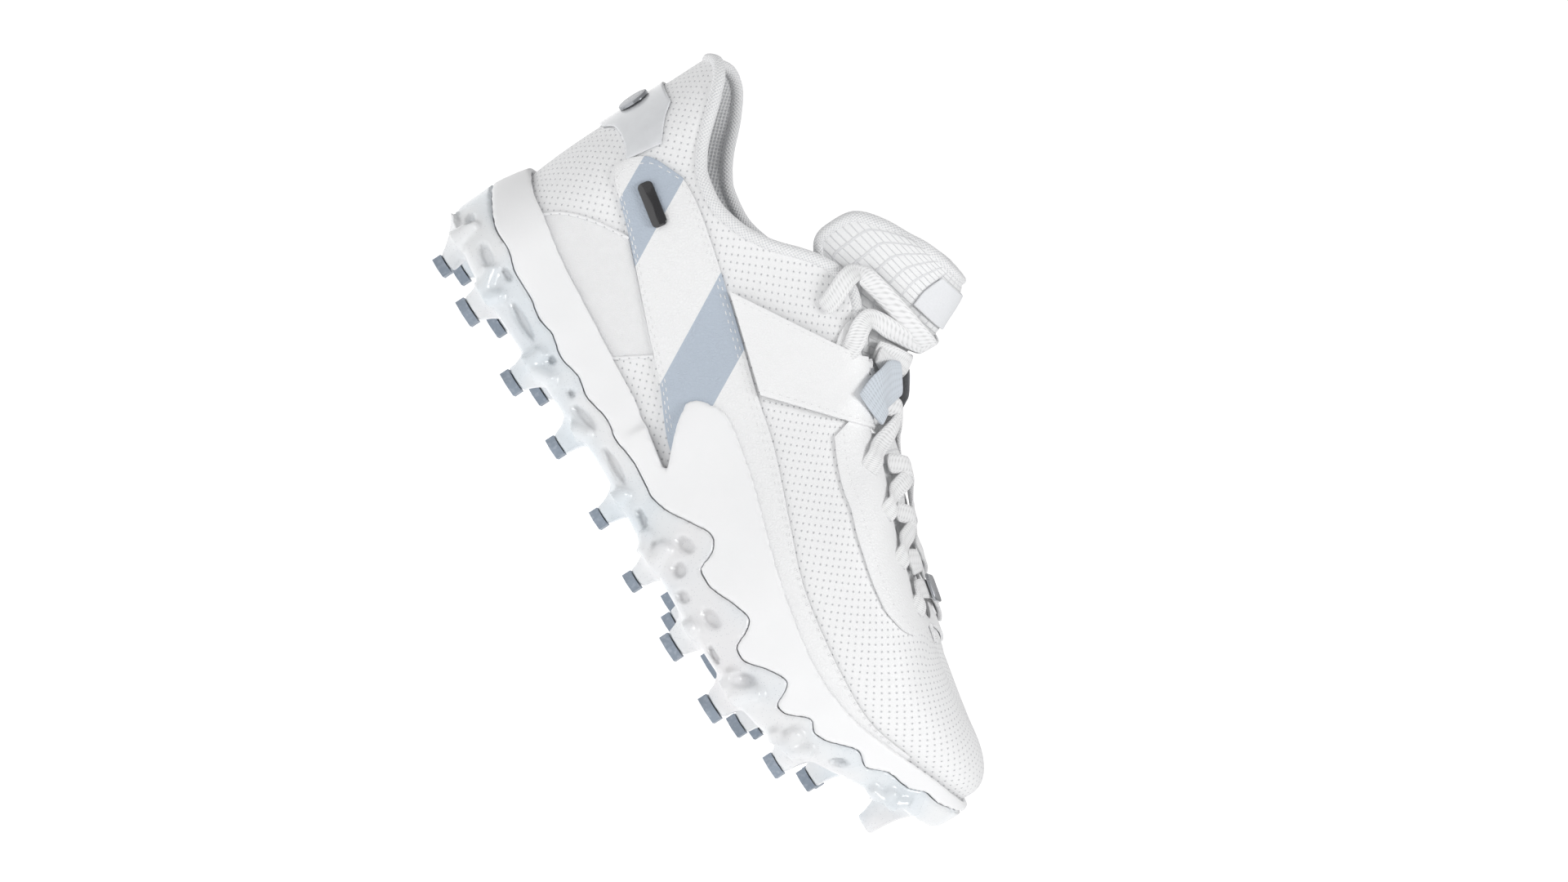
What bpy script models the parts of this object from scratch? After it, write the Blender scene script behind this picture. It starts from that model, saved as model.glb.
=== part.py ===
"""A low-top baseball cleat for the right foot, standing on its studs. Metres, +Z up, +X to the toe.

The outer (lateral) side faces -Y. Shapes follow one plan outline and one upper function, which every
neighbour reads with a named clearance. A "share" runs from 0 at the heel to 1 at the toe.
"""
import math

import bmesh
import bpy
from mathutils import Vector

# Driving sizes
SOLE_LENGTH = 0.2465          # heel back to toe tip of the sole, on its widest line
BALL_WIDTH = 0.085            # widest part of the sole
HEEL_ROUND = 0.030            # length over which the heel end rounds off
TOE_ROUND = 0.056             # length over which the toe end rounds off
TOE_FULLNESS = 2.15           # 2 is an ellipse, more is squarer
STUD_HEIGHT = 0.0095          # ground to the underside of the plate
TIP_HEIGHT = 0.003            # coloured tip of each stud
ARCH_RISE = 0.0025            # how far the plate lifts under the arch
TOE_SPRING = 0.026            # how far the plate lifts at the toe
PLATE = 0.003                 # thickness of the outsole plate
SIDE_WALL = 0.0022            # thickness of the outsole where it climbs the side
WAVE_HEIGHT = 0.020           # highest crest of the outsole's wavy edge over the plate
SIDEWALL_HEIGHT = 0.0425      # highest point of the midsole's side over the plate
MIDSOLE_RIM = 0.0016          # thickness of the midsole at its top edge
HEEL_STACK = 0.0175           # plate underside to the foot bed at the heel
BULGE_HEIGHT = 0.035          # foot bed to the widest line of the upper at the heel
BULGE_INSET = 0.0034          # upper's widest line inside the sole's outline
UPPER_CORNER = 0.0042         # radius where the upper turns under
UPPER_MARGIN = 0.006          # upper turned in under the insole
UPPER_WALL = 0.0018           # wall of the upper
COLLAR_HEIGHT = 0.101         # plate underside to the top of the collar at the heel
COLLAR_LENGTH = 0.2165        # heel to the toe end of the upper's top line
TOP_LINE_START = -0.486 * SOLE_LENGTH  # heel end of the top line
COLLAR_WIDTH = 0.056          # widest opening of the collar
COLLAR_ROLL = 0.0038          # diameter of the padded binding round the collar
COLLAR_END = 0.501            # where the binding ends at the throat, as a share of the top line
INSTEP_HEIGHT = 0.060         # plate underside to the toe end of the throat
THROAT_WIDTH = 0.034          # throat across its middle
THROAT_END = 0.862            # toe end of the throat, as a share of the top line
THROAT_ROUND = 0.055          # share of the top line over which the throat's end rounds off
INSOLE_THICKNESS = 0.003
TONGUE_HEIGHT = 0.1275        # plate underside to the tongue's top
TONGUE_THICKNESS = 0.0040
OVERLAY = 0.0009              # thickness of the panels on the upper
STRAP_THICKNESS = 0.0014
PANEL_CLEARANCE = 0.0006      # side panel over the midsole's rim
PANEL_BREADTH = 0.0020        # narrowest part of the side panel, over that clearance
LACE_WIDTH = 0.0062
LACE_THICKNESS = 0.0014
LACE_LIFT = 0.0018            # lace over the upper, with the eyestay between them
LACE_DIP = 0.0026             # end of a lace that dives inside the throat, over the throat's edge
LACE_DIP_INSET = 0.12         # how far in from the edge, as a share of the way to the middle
LACE_BROW = 0.0031            # a lace's middle over the throat's edge or over the binding
LACE_CROWN = 0.0028           # a lace's middle over the tongue
LACE_SHIFT = 0.029            # a diving end moved towards its crossing, as a share of the top line
LACE_OVER_TONGUE = 0.0018     # clearance of the laces over the tongue's free part
EYELET_INSET = 0.0065         # throat edge to the middle of an eyelet
KEEPER_WIDTH = 0.009
KEEPER_LENGTH = 0.013
KEEPER_THICKNESS = 0.0010
BADGE_RADIUS = 0.0052         # plain disc on the heel strap
BADGE_THICKNESS = 0.0010
BADGE_LEVEL = 1.38            # height of the disc on the heel, as a level of the upper
BADGE_TURN = 0.055            # the disc's place from the back round to the outer side
STUD_BAR = 0.0150             # length of the plain bar on the side panel
STUD_BAR_HEIGHT = 0.0050
BAR_PLACE = (0.155, 0.590)    # share of the sole's length, height as a share of the collar's height
LABEL_THICKNESS = 0.0008
LABEL_ROWS = (0.50, 0.58, 0.66, 0.74, 0.82)
LABEL_SPREAD = 0.42
GAP = 0.0003                  # clearance between neighbours
CUP_GAP = 0.0006              # clearance of the midsole's cup round the upper and over the outsole's edge

OUTER, INNER = -1, 1          # lateral side towards -Y, medial side towards +Y

# Plan of the sole's widest line: middle and half-width as shares of the ball width
PLAN = (
    ("share", "middle", "half"),
    (0.00, 0.020, 0.355),
    (0.10, 0.016, 0.365),
    (0.20, 0.006, 0.362),
    (0.32, -0.012, 0.352),
    (0.44, -0.028, 0.368),
    (0.56, -0.028, 0.428),
    (0.66, -0.014, 0.484),
    (0.74, 0.004, 0.500),
    (0.84, 0.030, 0.482),
    (0.93, 0.050, 0.440),
    (1.00, 0.066, 0.410),
)

# Height of the plate's underside: shares of the toe spring and of the arch's rise
PLATE_LINE = (
    ("share", "spring", "arch"),
    (0.00, 0.13, 0.0),
    (0.05, 0.03, 0.0),
    (0.15, 0.00, 0.0),
    (0.28, 0.00, 0.3),
    (0.40, 0.00, 1.0),
    (0.52, 0.00, 0.3),
    (0.65, 0.00, 0.0),
    (0.75, 0.02, 0.0),
    (0.80, 0.11, 0.0),
    (0.85, 0.33, 0.0),
    (0.90, 0.60, 0.0),
    (0.96, 0.89, 0.0),
    (1.00, 1.00, 0.0),
)

# Wavy edge of the outsole over the plate, as shares of its highest crest
WAVE = (
    ("share", "edge"),
    (0.00, 0.72), (0.03, 0.71), (0.07, 0.64), (0.10, 0.67), (0.135, 0.58), (0.166, 0.58),
    (0.20, 0.51), (0.222, 0.55), (0.257, 0.46), (0.287, 0.52), (0.317, 0.44), (0.353, 0.49),
    (0.383, 0.42), (0.423, 0.48), (0.464, 0.47), (0.489, 0.56), (0.524, 0.83), (0.555, 1.03),
    (0.570, 0.94), (0.585, 0.60), (0.600, 0.60), (0.645, 0.80), (0.669, 0.88), (0.680, 0.76),
    (0.692, 0.47), (0.706, 0.44), (0.736, 0.68), (0.762, 0.82), (0.770, 0.70), (0.780, 0.44),
    (0.790, 0.42), (0.817, 0.62), (0.834, 0.44), (0.847, 0.42), (0.863, 0.48), (0.878, 0.53),
    (0.903, 0.32), (0.920, 0.42), (0.948, 0.34), (0.964, 0.44), (0.981, 0.42), (1.00, 0.50),
)

# Foot bed, widest line of the upper and the midsole's top edge on both sides
BODY = (
    ("share", "stack", "spring", "bulge", "rim_outer", "rim_inner"),
    (0.00, 0.86, 0.13, 0.97, 0.655, 0.655),
    (0.04, 1.00, 0.05, 0.96, 0.680, 0.670),
    (0.08, 1.00, 0.00, 0.94, 0.675, 0.660),
    (0.15, 1.00, 0.00, 0.88, 0.625, 0.630),
    (0.25, 1.00, 0.00, 0.82, 0.565, 0.610),
    (0.35, 0.97, 0.00, 0.82, 0.490, 0.640),
    (0.383, 0.95, 0.00, 0.85, 0.445, 0.670),
    (0.394, 0.94, 0.00, 0.86, 0.860, 0.680),
    (0.440, 0.90, 0.00, 0.88, 1.000, 0.720),
    (0.505, 0.82, 0.00, 0.86, 0.965, 0.740),
    (0.570, 0.76, 0.00, 0.80, 0.880, 0.720),
    (0.640, 0.70, 0.00, 0.71, 0.775, 0.680),
    (0.706, 0.68, 0.00, 0.62, 0.690, 0.640),
    (0.800, 0.64, 0.11, 0.55, 0.570, 0.570),
    (0.858, 0.50, 0.36, 0.50, 0.455, 0.455),
    (0.908, 0.36, 0.63, 0.44, 0.385, 0.385),
    (0.950, 0.26, 0.85, 0.40, 0.345, 0.345),
    (1.00, 0.22, 1.00, 0.36, 0.320, 0.320),
)

# Top line of the upper: collar, throat, then the ridge down to the toe box
TOP_LINE = (
    ("share", "collar", "instep", "half_collar", "half_throat", "fullness"),
    (0.000, 0.972, 0.00, 0.70, 0.0, 1.25),
    (0.021, 1.000, 0.00, 0.72, 0.0, 1.25),
    (0.044, 0.985, 0.00, 0.75, 0.0, 1.25),
    (0.068, 0.946, 0.00, 0.78, 0.0, 1.25),
    (0.091, 0.901, 0.00, 0.82, 0.0, 1.25),
    (0.114, 0.850, 0.00, 0.86, 0.0, 1.25),
    (0.138, 0.809, 0.00, 0.90, 0.0, 1.25),
    (0.161, 0.784, 0.00, 0.94, 0.0, 1.25),
    (0.208, 0.771, 0.00, 0.99, 0.0, 1.25),
    (0.254, 0.793, 0.00, 1.00, 0.0, 1.25),
    (0.301, 0.847, 0.00, 0.97, 0.0, 1.30),
    (0.347, 0.931, 0.00, 0.91, 0.0, 1.40),
    (0.382, 0.973, 0.00, 0.86, 0.0, 1.50),
    (0.417, 0.985, 0.00, 0.80, 0.0, 1.55),
    (0.446, 0.963, 0.00, 0.76, 0.0, 1.60),
    (0.475, 0.941, 0.00, 0.72, 0.0, 1.60),
    (0.504, 0.906, 0.00, 0.68, 0.0, 1.60),
    (0.522, 0.891, 0.00, 0.65, 0.0, 1.60),
    (0.627, 0.000, 1.27, 0.0, 1.02, 1.70),
    (0.674, 0.000, 1.22, 0.0, 1.00, 1.80),
    (0.732, 0.000, 1.13, 0.0, 0.95, 1.90),
    (0.784, 0.000, 1.07, 0.0, 0.90, 2.00),
    (0.814, 0.000, 1.035, 0.0, 0.86, 2.05),
    (0.862, 0.000, 1.00, 0.0, 0.80, 2.10),
    (0.900, 0.000, 0.966, 0.0, 0.80, 2.15),
    (0.940, 0.000, 0.934, 0.0, 0.80, 2.15),
    (0.970, 0.000, 0.915, 0.0, 0.80, 2.15),
    (1.000, 0.000, 0.905, 0.0, 0.80, 2.15),
)

# Free part of the tongue over the collar: shares of the tongue's height and of the top line
TONGUE_ROWS = (
    ("share", "middle_at", "middle_height", "edge_at", "edge_height", "half"),
    (0.00, 0.540, 0.735, 0.490, 0.648, 0.57),
    (0.20, 0.522, 0.790, 0.400, 0.700, 0.66),
    (0.40, 0.524, 0.855, 0.322, 0.765, 0.78),
    (0.60, 0.512, 0.910, 0.322, 0.850, 0.80),
    (0.80, 0.496, 0.965, 0.362, 0.922, 0.75),
    (1.00, 0.480, 1.000, 0.415, 0.978, 0.60),
)

# Studs: place along the sole, distance in from the outline, length, lean towards the toe, lift of the tip
STUDS = (
    ("share", "inset", "length", "lean", "lift", "side"),
    (0.046, 0.0090, 0.0064, 0.0042, 0.0, OUTER),
    (0.140, 0.0085, 0.0088, -0.0010, 0.0, OUTER),
    (0.247, 0.0085, 0.0080, -0.0010, 0.0, OUTER),
    (0.340, 0.0080, 0.0068, 0.0010, 0.0012, OUTER),
    (0.449, 0.0075, 0.0062, 0.0008, 0.0012, OUTER),
    (0.540, 0.0080, 0.0062, 0.0010, 0.0, OUTER),
    (0.640, 0.0085, 0.0086, 0.0006, 0.0, OUTER),
    (0.730, 0.0090, 0.0088, 0.0010, 0.0, OUTER),
    (0.828, 0.0095, 0.0076, 0.0018, 0.0068, OUTER),
    (0.046, 0.0090, 0.0064, 0.0042, 0.0, INNER),
    (0.140, 0.0085, 0.0088, -0.0010, 0.0, INNER),
    (0.247, 0.0085, 0.0080, -0.0010, 0.0, INNER),
    (0.560, 0.0080, 0.0066, 0.0008, 0.0, INNER),
    (0.655, 0.0085, 0.0086, 0.0006, 0.0, INNER),
    (0.745, 0.0090, 0.0088, 0.0010, 0.0, INNER),
    (0.838, 0.0095, 0.0076, 0.0024, 0.0082, INNER),
    (0.600, 0.0380, 0.0072, 0.0006, 0.0, OUTER),
    (0.757, 0.0280, 0.0070, 0.0010, 0.0018, OUTER),
    (0.858, 0.0280, 0.0068, 0.0014, 0.0105, OUTER),
)
STUD_WIDTH = 0.0070           # tip of a stud across the sole
STUD_FLARE = 0.0036           # how much wider a stud is at the plate, on each side
TOE_STUD_LENGTH = 0.0066
TOE_STUD_SHARE = 0.943
TOE_STUD_DROP = 0.0125        # plate to the bare end of the toe stud

# Fingers that climb the side: place, lean to the toe, height over the plate as a share of the wave's crest
FINGERS = (
    ("share", "lean", "top", "radius"),
    (0.058, -0.004, 0.60, 0.0023),
    (0.124, -0.006, 0.52, 0.0021),
    (0.150, 0.006, 0.40, 0.0021),
    (0.242, -0.003, 0.42, 0.0022),
    (0.262, 0.009, 0.36, 0.0020),
    (0.352, 0.006, 0.20, 0.0020),
    (0.448, 0.002, 0.30, 0.0020),
    (0.516, -0.006, 0.27, 0.0020),
    (0.534, 0.001, 0.66, 0.0026),
    (0.640, 0.000, 0.22, 0.0022),
    (0.725, -0.0042, 0.41, 0.0022),
    (0.748, 0.006, 0.68, 0.0026),
    (0.806, -0.006, 0.26, 0.0020),
    (0.826, 0.001, 0.48, 0.0024),
    (0.842, 0.007, 0.30, 0.0021),
)

FINGER_RAISE = 0.0015

# Outlines of overlays seen from the side: share of the sole's length, height over the plate as a share of the
# collar's height
SIDE_PANEL = (
    (0.146, 0.712), (0.105, 0.668), (0.089, 0.610), (0.087, 0.565), (0.100, 0.532), (0.126, 0.512),
    (0.180, 0.470), (0.290, 0.370), (0.350, 0.318),
)
WAIST_SIDE = ((0.405, 0.262), (0.394, 0.298), (0.382, 0.348), (0.376, 0.388), (0.383, 0.418))
WAIST_BROW = ((0.400, 0.432), (0.425, 0.448))
SIDE_PANEL_TOP = (
    (0.908, 0.355), (0.860, 0.315), (0.800, 0.320), (0.706, 0.352), (0.655, 0.382), (0.605, 0.425),
    (0.505, 0.510), (0.433, 0.553), (0.322, 0.628), (0.200, 0.702),
)
STRAP = ((0.302, 0.650), (0.471, 0.892), (0.550, 0.800), (0.436, 0.562))
HEEL_STRAP = (
    (-0.04, 0.800), (0.040, 0.800), (0.092, 0.712), (0.081, 0.640), (0.079, 0.590), (0.060, 0.612),
    (0.036, 0.614), (0.012, 0.575), (-0.04, 0.555),
)
EYESTAY = (
    (0.524, 0.690), (0.565, 0.644), (0.606, 0.616), (0.658, 0.580), (0.709, 0.548), (0.745, 0.534),
    (0.770, 0.538), (0.791, 0.556), (0.804, 0.592), (0.804, 0.750), (0.560, 0.950), (0.556, 0.780),
)
WAIST_NOTCH = (
    (0.365, 0.222), (0.400, 0.206), (0.457, 0.184), (0.431, 0.243), (0.408, 0.298), (0.392, 0.352),
    (0.386, 0.380), (0.365, 0.380),
)

# Part of the tongue under the throat, from its toe end: rise of its middle over the top line, spread past the
# throat's edge and drop of its edges
TONGUE_BASE = (
    ("share", "crown", "spread", "drop"),
    (0.845, -0.0019, 1.45, 0.0042),
    (0.800, 0.0006, 1.30, 0.0088),
    (0.740, 0.0026, 1.26, 0.0110),
    (0.680, 0.0042, 1.20, 0.0112),
    (0.620, 0.0058, 1.10, 0.0105),
    (0.570, 0.0068, 1.03, 0.0080),
)

# Eyelets from the ankle down to the toe, as shares of the top line
EYELETS = (0.404, 0.471, 0.542, 0.624, 0.688, 0.754, 0.822)
STRAPPED_EYELET = 2           # the strap ends cover this pair, counted from 0
STRAP_END_SHARE = 0.556       # middle of the strap ends along the top line
STRAP_END_WIDTH = 0.0150
STRAP_END_RISE = 0.0105       # its free end over the throat's edge

# Points where the two upper crossings climb over the tongue: across it, and up its free part
TONGUE_CLIMB = (
    ((-0.36, 0.27), (0.0, 0.34), (0.34, 0.38), (0.64, 0.42)),
    ((-0.40, 0.03), (0.0, 0.08), (0.30, 0.09), (0.58, 0.08)),
)

SOLE_STATIONS = 40
UPPER_STATIONS = 28
TONGUE_STEPS = 4
UPPER_LOW_LEVELS = 2
UPPER_HIGH_LEVELS = 5
INSOLE_STATIONS = 16


def smooth_value(points, at):
    """Value of a curve through (at, value) points that never swings past them."""
    if at <= points[0][0]:
        return points[0][1]
    if at >= points[-1][0]:
        return points[-1][1]
    spans = [after[0] - before[0] for before, after in zip(points, points[1:])]
    steps = [(after[1] - before[1]) / span for before, after, span in zip(points, points[1:], spans)]
    index = max(i for i, point in enumerate(points[:-1]) if point[0] <= at)

    def slope(i):
        if i in (0, len(points) - 1):
            return steps[0] if i == 0 else steps[-1]
        before, after = steps[i - 1], steps[i]
        return 0.0 if before * after <= 0 else 2 * before * after / (before + after)

    span = spans[index]
    along = (at - points[index][0]) / span
    start, end = points[index][1], points[index + 1][1]
    rise = 3 * along**2 - 2 * along**3
    return (
        start + (end - start) * rise
        + span * slope(index) * along * (1 - along) ** 2
        - span * slope(index + 1) * along**2 * (1 - along)
    )


def reader(table):
    """Function that reads one named column of a table at a share."""
    columns = {
        name: [(row[0], row[place]) for row in table[1:]]
        for place, name in enumerate(table[0])
    }
    return lambda name, share: smooth_value(columns[name], share)


plan, plate_line, wave, body, top_line = (
    reader(table) for table in (PLAN, PLATE_LINE, WAVE, BODY, TOP_LINE)
)
tongue_rows = reader(TONGUE_ROWS)
tongue_base = reader([TONGUE_BASE[0]] + sorted(TONGUE_BASE[1:]))


def rows_of(table):
    """Rows of a table as dictionaries."""
    return [dict(zip(table[0], row)) for row in table[1:]]


def share_at(turn):
    """Share of the length at a turn from 0 at the heel to 1 at the toe, closer together at both ends."""
    return (1 - math.cos(math.pi * turn)) / 2


def turn_at(share):
    return math.acos(1 - 2 * share) / math.pi


def share_of(point):
    """Share of the sole's length at a point."""
    return point.x / SOLE_LENGTH + 0.5


def end_round(share):
    """1 along the sole, falling to 0 round the heel and round the toe."""
    heel, toe = HEEL_ROUND / SOLE_LENGTH, TOE_ROUND / SOLE_LENGTH
    result = 1.0
    if share < heel:
        result *= math.sqrt(max(0.0, 1 - (1 - share / heel) ** 2))
    if 1 - share < toe:
        result *= max(0.0, 1 - (1 - (1 - share) / toe) ** TOE_FULLNESS) ** (1 / TOE_FULLNESS)
    return result


def outline(side, turn, inset=0.0):
    """Point of the sole's widest line, moved in towards the middle by inset."""
    def edge(at):
        share = share_at(at)
        half = plan("half", share) * end_round(share) * (1 if 0 <= at <= 1 else -1)
        return Vector((
            (share - 0.5) * SOLE_LENGTH,
            BALL_WIDTH * (plan("middle", share) + side * half),
            0.0,
        ))

    along = edge(turn + 0.002) - edge(turn - 0.002)
    inward = Vector((0, 0, -side)).cross(along).normalized()
    return edge(turn) + inward * inset


def plate_height(share):
    return (
        STUD_HEIGHT + TOE_SPRING * plate_line("spring", share) + ARCH_RISE * plate_line("arch", share)
    )


def raised(point, height):
    return Vector((point.x, point.y, height))


def over(point, height_line, extra=0.0):
    """The point at the height that a height line has there, plus some more."""
    return raised(point, height_line(share_of(point)) + extra)


def wave_height(share):
    return plate_height(share) + WAVE_HEIGHT * wave("edge", share)


def bed_height(share):
    return STUD_HEIGHT + HEEL_STACK * body("stack", share) + TOE_SPRING * body("spring", share)


def bulge_height(share):
    return bed_height(share) + BULGE_HEIGHT * body("bulge", share)


def rim_height(side, share):
    name = "rim_outer" if side == OUTER else "rim_inner"
    return plate_height(share) + SIDEWALL_HEIGHT * body(name, share)


def top_point(side, turn):
    """Point of the top line: collar, throat edge or ridge of the vamp."""
    share = share_at(turn)
    half_collar = COLLAR_WIDTH / 2 * top_line("half_collar", share)
    heel_round = 0.095
    if share < heel_round:
        half_collar *= math.sqrt(max(0.0, 1 - (1 - share / heel_round) ** 2))
    half_throat = THROAT_WIDTH / 2 * top_line("half_throat", share)
    left = THROAT_END - share
    if left <= 0:
        half_throat = 0.0
    elif left < THROAT_ROUND:
        half_throat *= math.sqrt(1 - (1 - left / THROAT_ROUND) ** 2)
    height = (
        STUD_HEIGHT + COLLAR_HEIGHT * top_line("collar", share)
        + INSTEP_HEIGHT * top_line("instep", share)
    )
    middle = BALL_WIDTH * plan("middle", share * COLLAR_LENGTH / SOLE_LENGTH)
    return Vector((
        TOP_LINE_START + COLLAR_LENGTH * share, middle + side * (half_collar + half_throat), height,
    ))


def edge_point(side, turn):
    """Top edge of the upper's wall, which stops below the padded binding."""
    point = top_point(side, turn)
    rolled = max(0.0, min(1.0, (COLLAR_END + 0.10 - share_at(turn)) / 0.10))
    if rolled:
        along = top_point(side, turn + 0.008) - top_point(side, max(turn - 0.008, 0.0))
        steepness = along.length / math.hypot(along.x, along.y)
        point.z -= (COLLAR_ROLL / 2 + (COLLAR_ROLL / 2 + 2 * GAP) * steepness) * rolled
    return point


def upper_point(side, turn, level):
    """Outer surface of the upper. Level -1 is the turned-in margin, 0 the foot bed's edge, 1 the widest
    line and 2 the top edge."""
    share = share_at(turn)
    widest = bulge_height(share)
    if level < 0:
        return over(outline(side, turn, BULGE_INSET + UPPER_CORNER - level * UPPER_MARGIN), bed_height)
    if level <= 1:
        angle = level * math.pi / 2
        point = outline(side, turn, BULGE_INSET + UPPER_CORNER * (1 - math.sin(angle)))
        bed = bed_height(share_of(point))
        point.z = bed + (widest - bed) * (1 - math.cos(angle))
        return point
    angle = (level - 1) * math.pi / 2
    fullness = top_line("fullness", share)
    across = math.cos(angle) ** (2 / fullness) if level < 2 else 0.0
    up = math.sin(angle) ** (2 / fullness)
    base, top = outline(side, turn, BULGE_INSET), edge_point(side, turn)
    point = top.lerp(base, across)
    point.z = widest + (top.z - widest) * up
    return point


def upper_normal(side, turn, level):
    """Direction out of the upper's surface."""
    small = 0.004
    turn = min(max(turn, small), 1 - small)
    level = min(max(level, small), 2 - small)
    along = upper_point(side, turn + small, level) - upper_point(side, turn - small, level)
    up = upper_point(side, turn, level + small) - upper_point(side, turn, level - small)
    return (along.cross(up) * -side).normalized()


def level_at_height(side, share, height):
    """Level of the lower quarter of the upper at a height."""
    bed, widest = bed_height(share), bulge_height(share)
    part = min(max((height - bed) / (widest - bed), 0.0), 1.0)
    return math.acos(1 - part) / (math.pi / 2)


def new_material(name, colour, roughness, metallic=0.0):
    material = bpy.data.materials.new(name)
    material.use_nodes = True
    shader = material.node_tree.nodes["Principled BSDF"]
    shader.inputs["Base Color"].default_value = (*colour, 1.0)
    shader.inputs["Roughness"].default_value = roughness
    shader.inputs["Metallic"].default_value = metallic
    return material


def new_object(name, mesh_builder, material, parent, smooth=True):
    """Object of the finished bmesh, with its own material, carried by the parent."""
    mesh = bpy.data.meshes.new(name)
    bmesh.ops.recalc_face_normals(mesh_builder, faces=mesh_builder.faces)
    mesh_builder.to_mesh(mesh)
    mesh_builder.free()
    mesh.materials.append(material)
    if smooth:
        mesh.shade_smooth()
        mesh.set_sharp_from_angle(angle=math.radians(40))
    item = bpy.data.objects.new(name, mesh)
    bpy.context.collection.objects.link(item)
    item.parent = parent
    return item


def new_helper(name, mesh_builder, parent):
    """Cutter or guide, kept out of the render."""
    item = new_object(name, mesh_builder, bpy.data.materials.new(name), parent, smooth=False)
    item.hide_render = True
    item.display_type = "WIRE"
    return item


def add_boolean(item, other, operation):
    modifier = item.modifiers.new(operation.title(), "BOOLEAN")
    modifier.operation = operation
    modifier.object = other
    modifier.solver = "EXACT"
    return modifier


def add_solidify(item, thickness, offset):
    modifier = item.modifiers.new("Wall", "SOLIDIFY")
    modifier.thickness = thickness
    modifier.offset = offset
    modifier.use_even_offset = True
    return modifier


def loft(rings, closed_ends=False):
    """Body through rings of as many points each. Ends that fold flat are zipped, others are capped."""
    body_mesh = bmesh.new()
    loops = [[body_mesh.verts.new(point) for point in ring] for ring in rings]
    for before, after in zip(loops, loops[1:]):
        for i in range(len(before)):
            j = (i + 1) % len(before)
            body_mesh.faces.new((before[i], before[j], after[j], after[i]))
    if closed_ends:
        body_mesh.faces.new(loops[0])
        body_mesh.faces.new(list(reversed(loops[-1])))
    bmesh.ops.remove_doubles(body_mesh, verts=body_mesh.verts, dist=0.00001)
    return body_mesh


def both_sides(chain, height_line, low, high):
    """Closed ring from one chain of points of each side, given from the underside out and back in, with a
    point halfway across the underside and the top, each some way over a height line."""
    outer, inner = chain(OUTER), chain(INNER)
    middles = [
        over((a + b) / 2, height_line, extra)
        for a, b, extra in ((outer[0], inner[0], low), (outer[-1], inner[-1], high))
    ]
    return [middles[0]] + outer + [middles[1]] + list(reversed(inner))


def prism(points, low, high):
    """Side-view outline of (x, z) points run across the shoe from y = low to y = high."""
    block = bmesh.new()
    face = block.faces.new([block.verts.new((x, low, z)) for x, z in points])
    grown = bmesh.ops.extrude_face_region(block, geom=[face])
    moved = [item for item in grown["geom"] if isinstance(item, bmesh.types.BMVert)]
    bmesh.ops.translate(block, vec=(0, high - low, 0), verts=moved)
    return block


# Sole
def outsole_ring(turn):
    crest = wave_height(share_at(turn))

    def chain(side):
        return [
            over(outline(side, turn, 0.0040), plate_height),
            over(outline(side, turn, 0.0006), plate_height, 0.0022),
            raised(outline(side, turn), crest),
            raised(outline(side, turn, SIDE_WALL), crest),
            over(outline(side, turn, SIDE_WALL + 0.0012), plate_height, PLATE),
        ]

    return both_sides(chain, plate_height, 0.0, PLATE)


def stud_rings(row, drop_to):
    """Rings of one stud stem, from its tip up into the plate."""
    half = BALL_WIDTH * plan("half", row["share"]) * end_round(row["share"]) - row["inset"]
    middle = Vector((
        share_to_x(row["share"]), BALL_WIDTH * plan("middle", row["share"]) + row["side"] * half, 0,
    ))
    rings = []
    for part, grow, lean in ((0.0, 0.0, 1.0), (0.62, 0.42, 0.40), (1.0, 1.3, 0.0)):
        half_length = row["length"] / 2 + STUD_FLARE * grow
        half_width = STUD_WIDTH / 2 + STUD_FLARE * grow
        ring = []
        for along, across in ((1, -0.6), (1, 0.6), (0, 1), (-1, 0.6), (-1, -0.6), (0, -1)):
            point = middle + Vector((row["lean"] * lean + half_length * along, half_width * across, 0))
            root = plate_height(share_of(point)) + PLATE / 2
            ring.append(raised(point, drop_to + (root - drop_to) * part))
        rings.append(ring)
    return rings


def toe_stud_rings():
    row = {
        "share": TOE_STUD_SHARE, "inset": BALL_WIDTH * 0.30, "length": TOE_STUD_LENGTH, "lean": 0.001,
        "side": OUTER,
    }
    return stud_rings(row, plate_height(TOE_STUD_SHARE) - TOE_STUD_DROP)


def tip_bottom(row):
    return row["lift"]


def side_point(side, share, height):
    """Point on the outsole's side at a height over the plate, and the direction out of it."""
    turn = turn_at(share)
    out = (outline(side, turn) - outline(side, turn, 0.001)).normalized()
    point = raised(outline(side, turn, 0.0004), plate_height(share) + height)
    return point, out


def finger(side, row):
    """Rounded finger lying half in the side, from the plate's edge up to its tip."""
    base, out = side_point(side, row["share"], -0.0004)
    tip, _ = side_point(side, row["share"], WAVE_HEIGHT * row["top"])
    tip.x += row["lean"]
    along = (tip - base).normalized()
    across = along.cross(out).normalized()
    outward = across.cross(along).normalized()
    rings = []
    for part, wide in ((0.0, 1.4), (1.0, 0.8)):
        middle = base.lerp(tip, part)
        rings.append([
            middle + across * row["radius"] * wide * aside + outward * FINGER_RAISE * up
            for aside, up in ((-1, -0.8), (1, -0.8), (0.75, 0.6), (0, 1.0), (-0.75, 0.6))
        ])
    return rings


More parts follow.
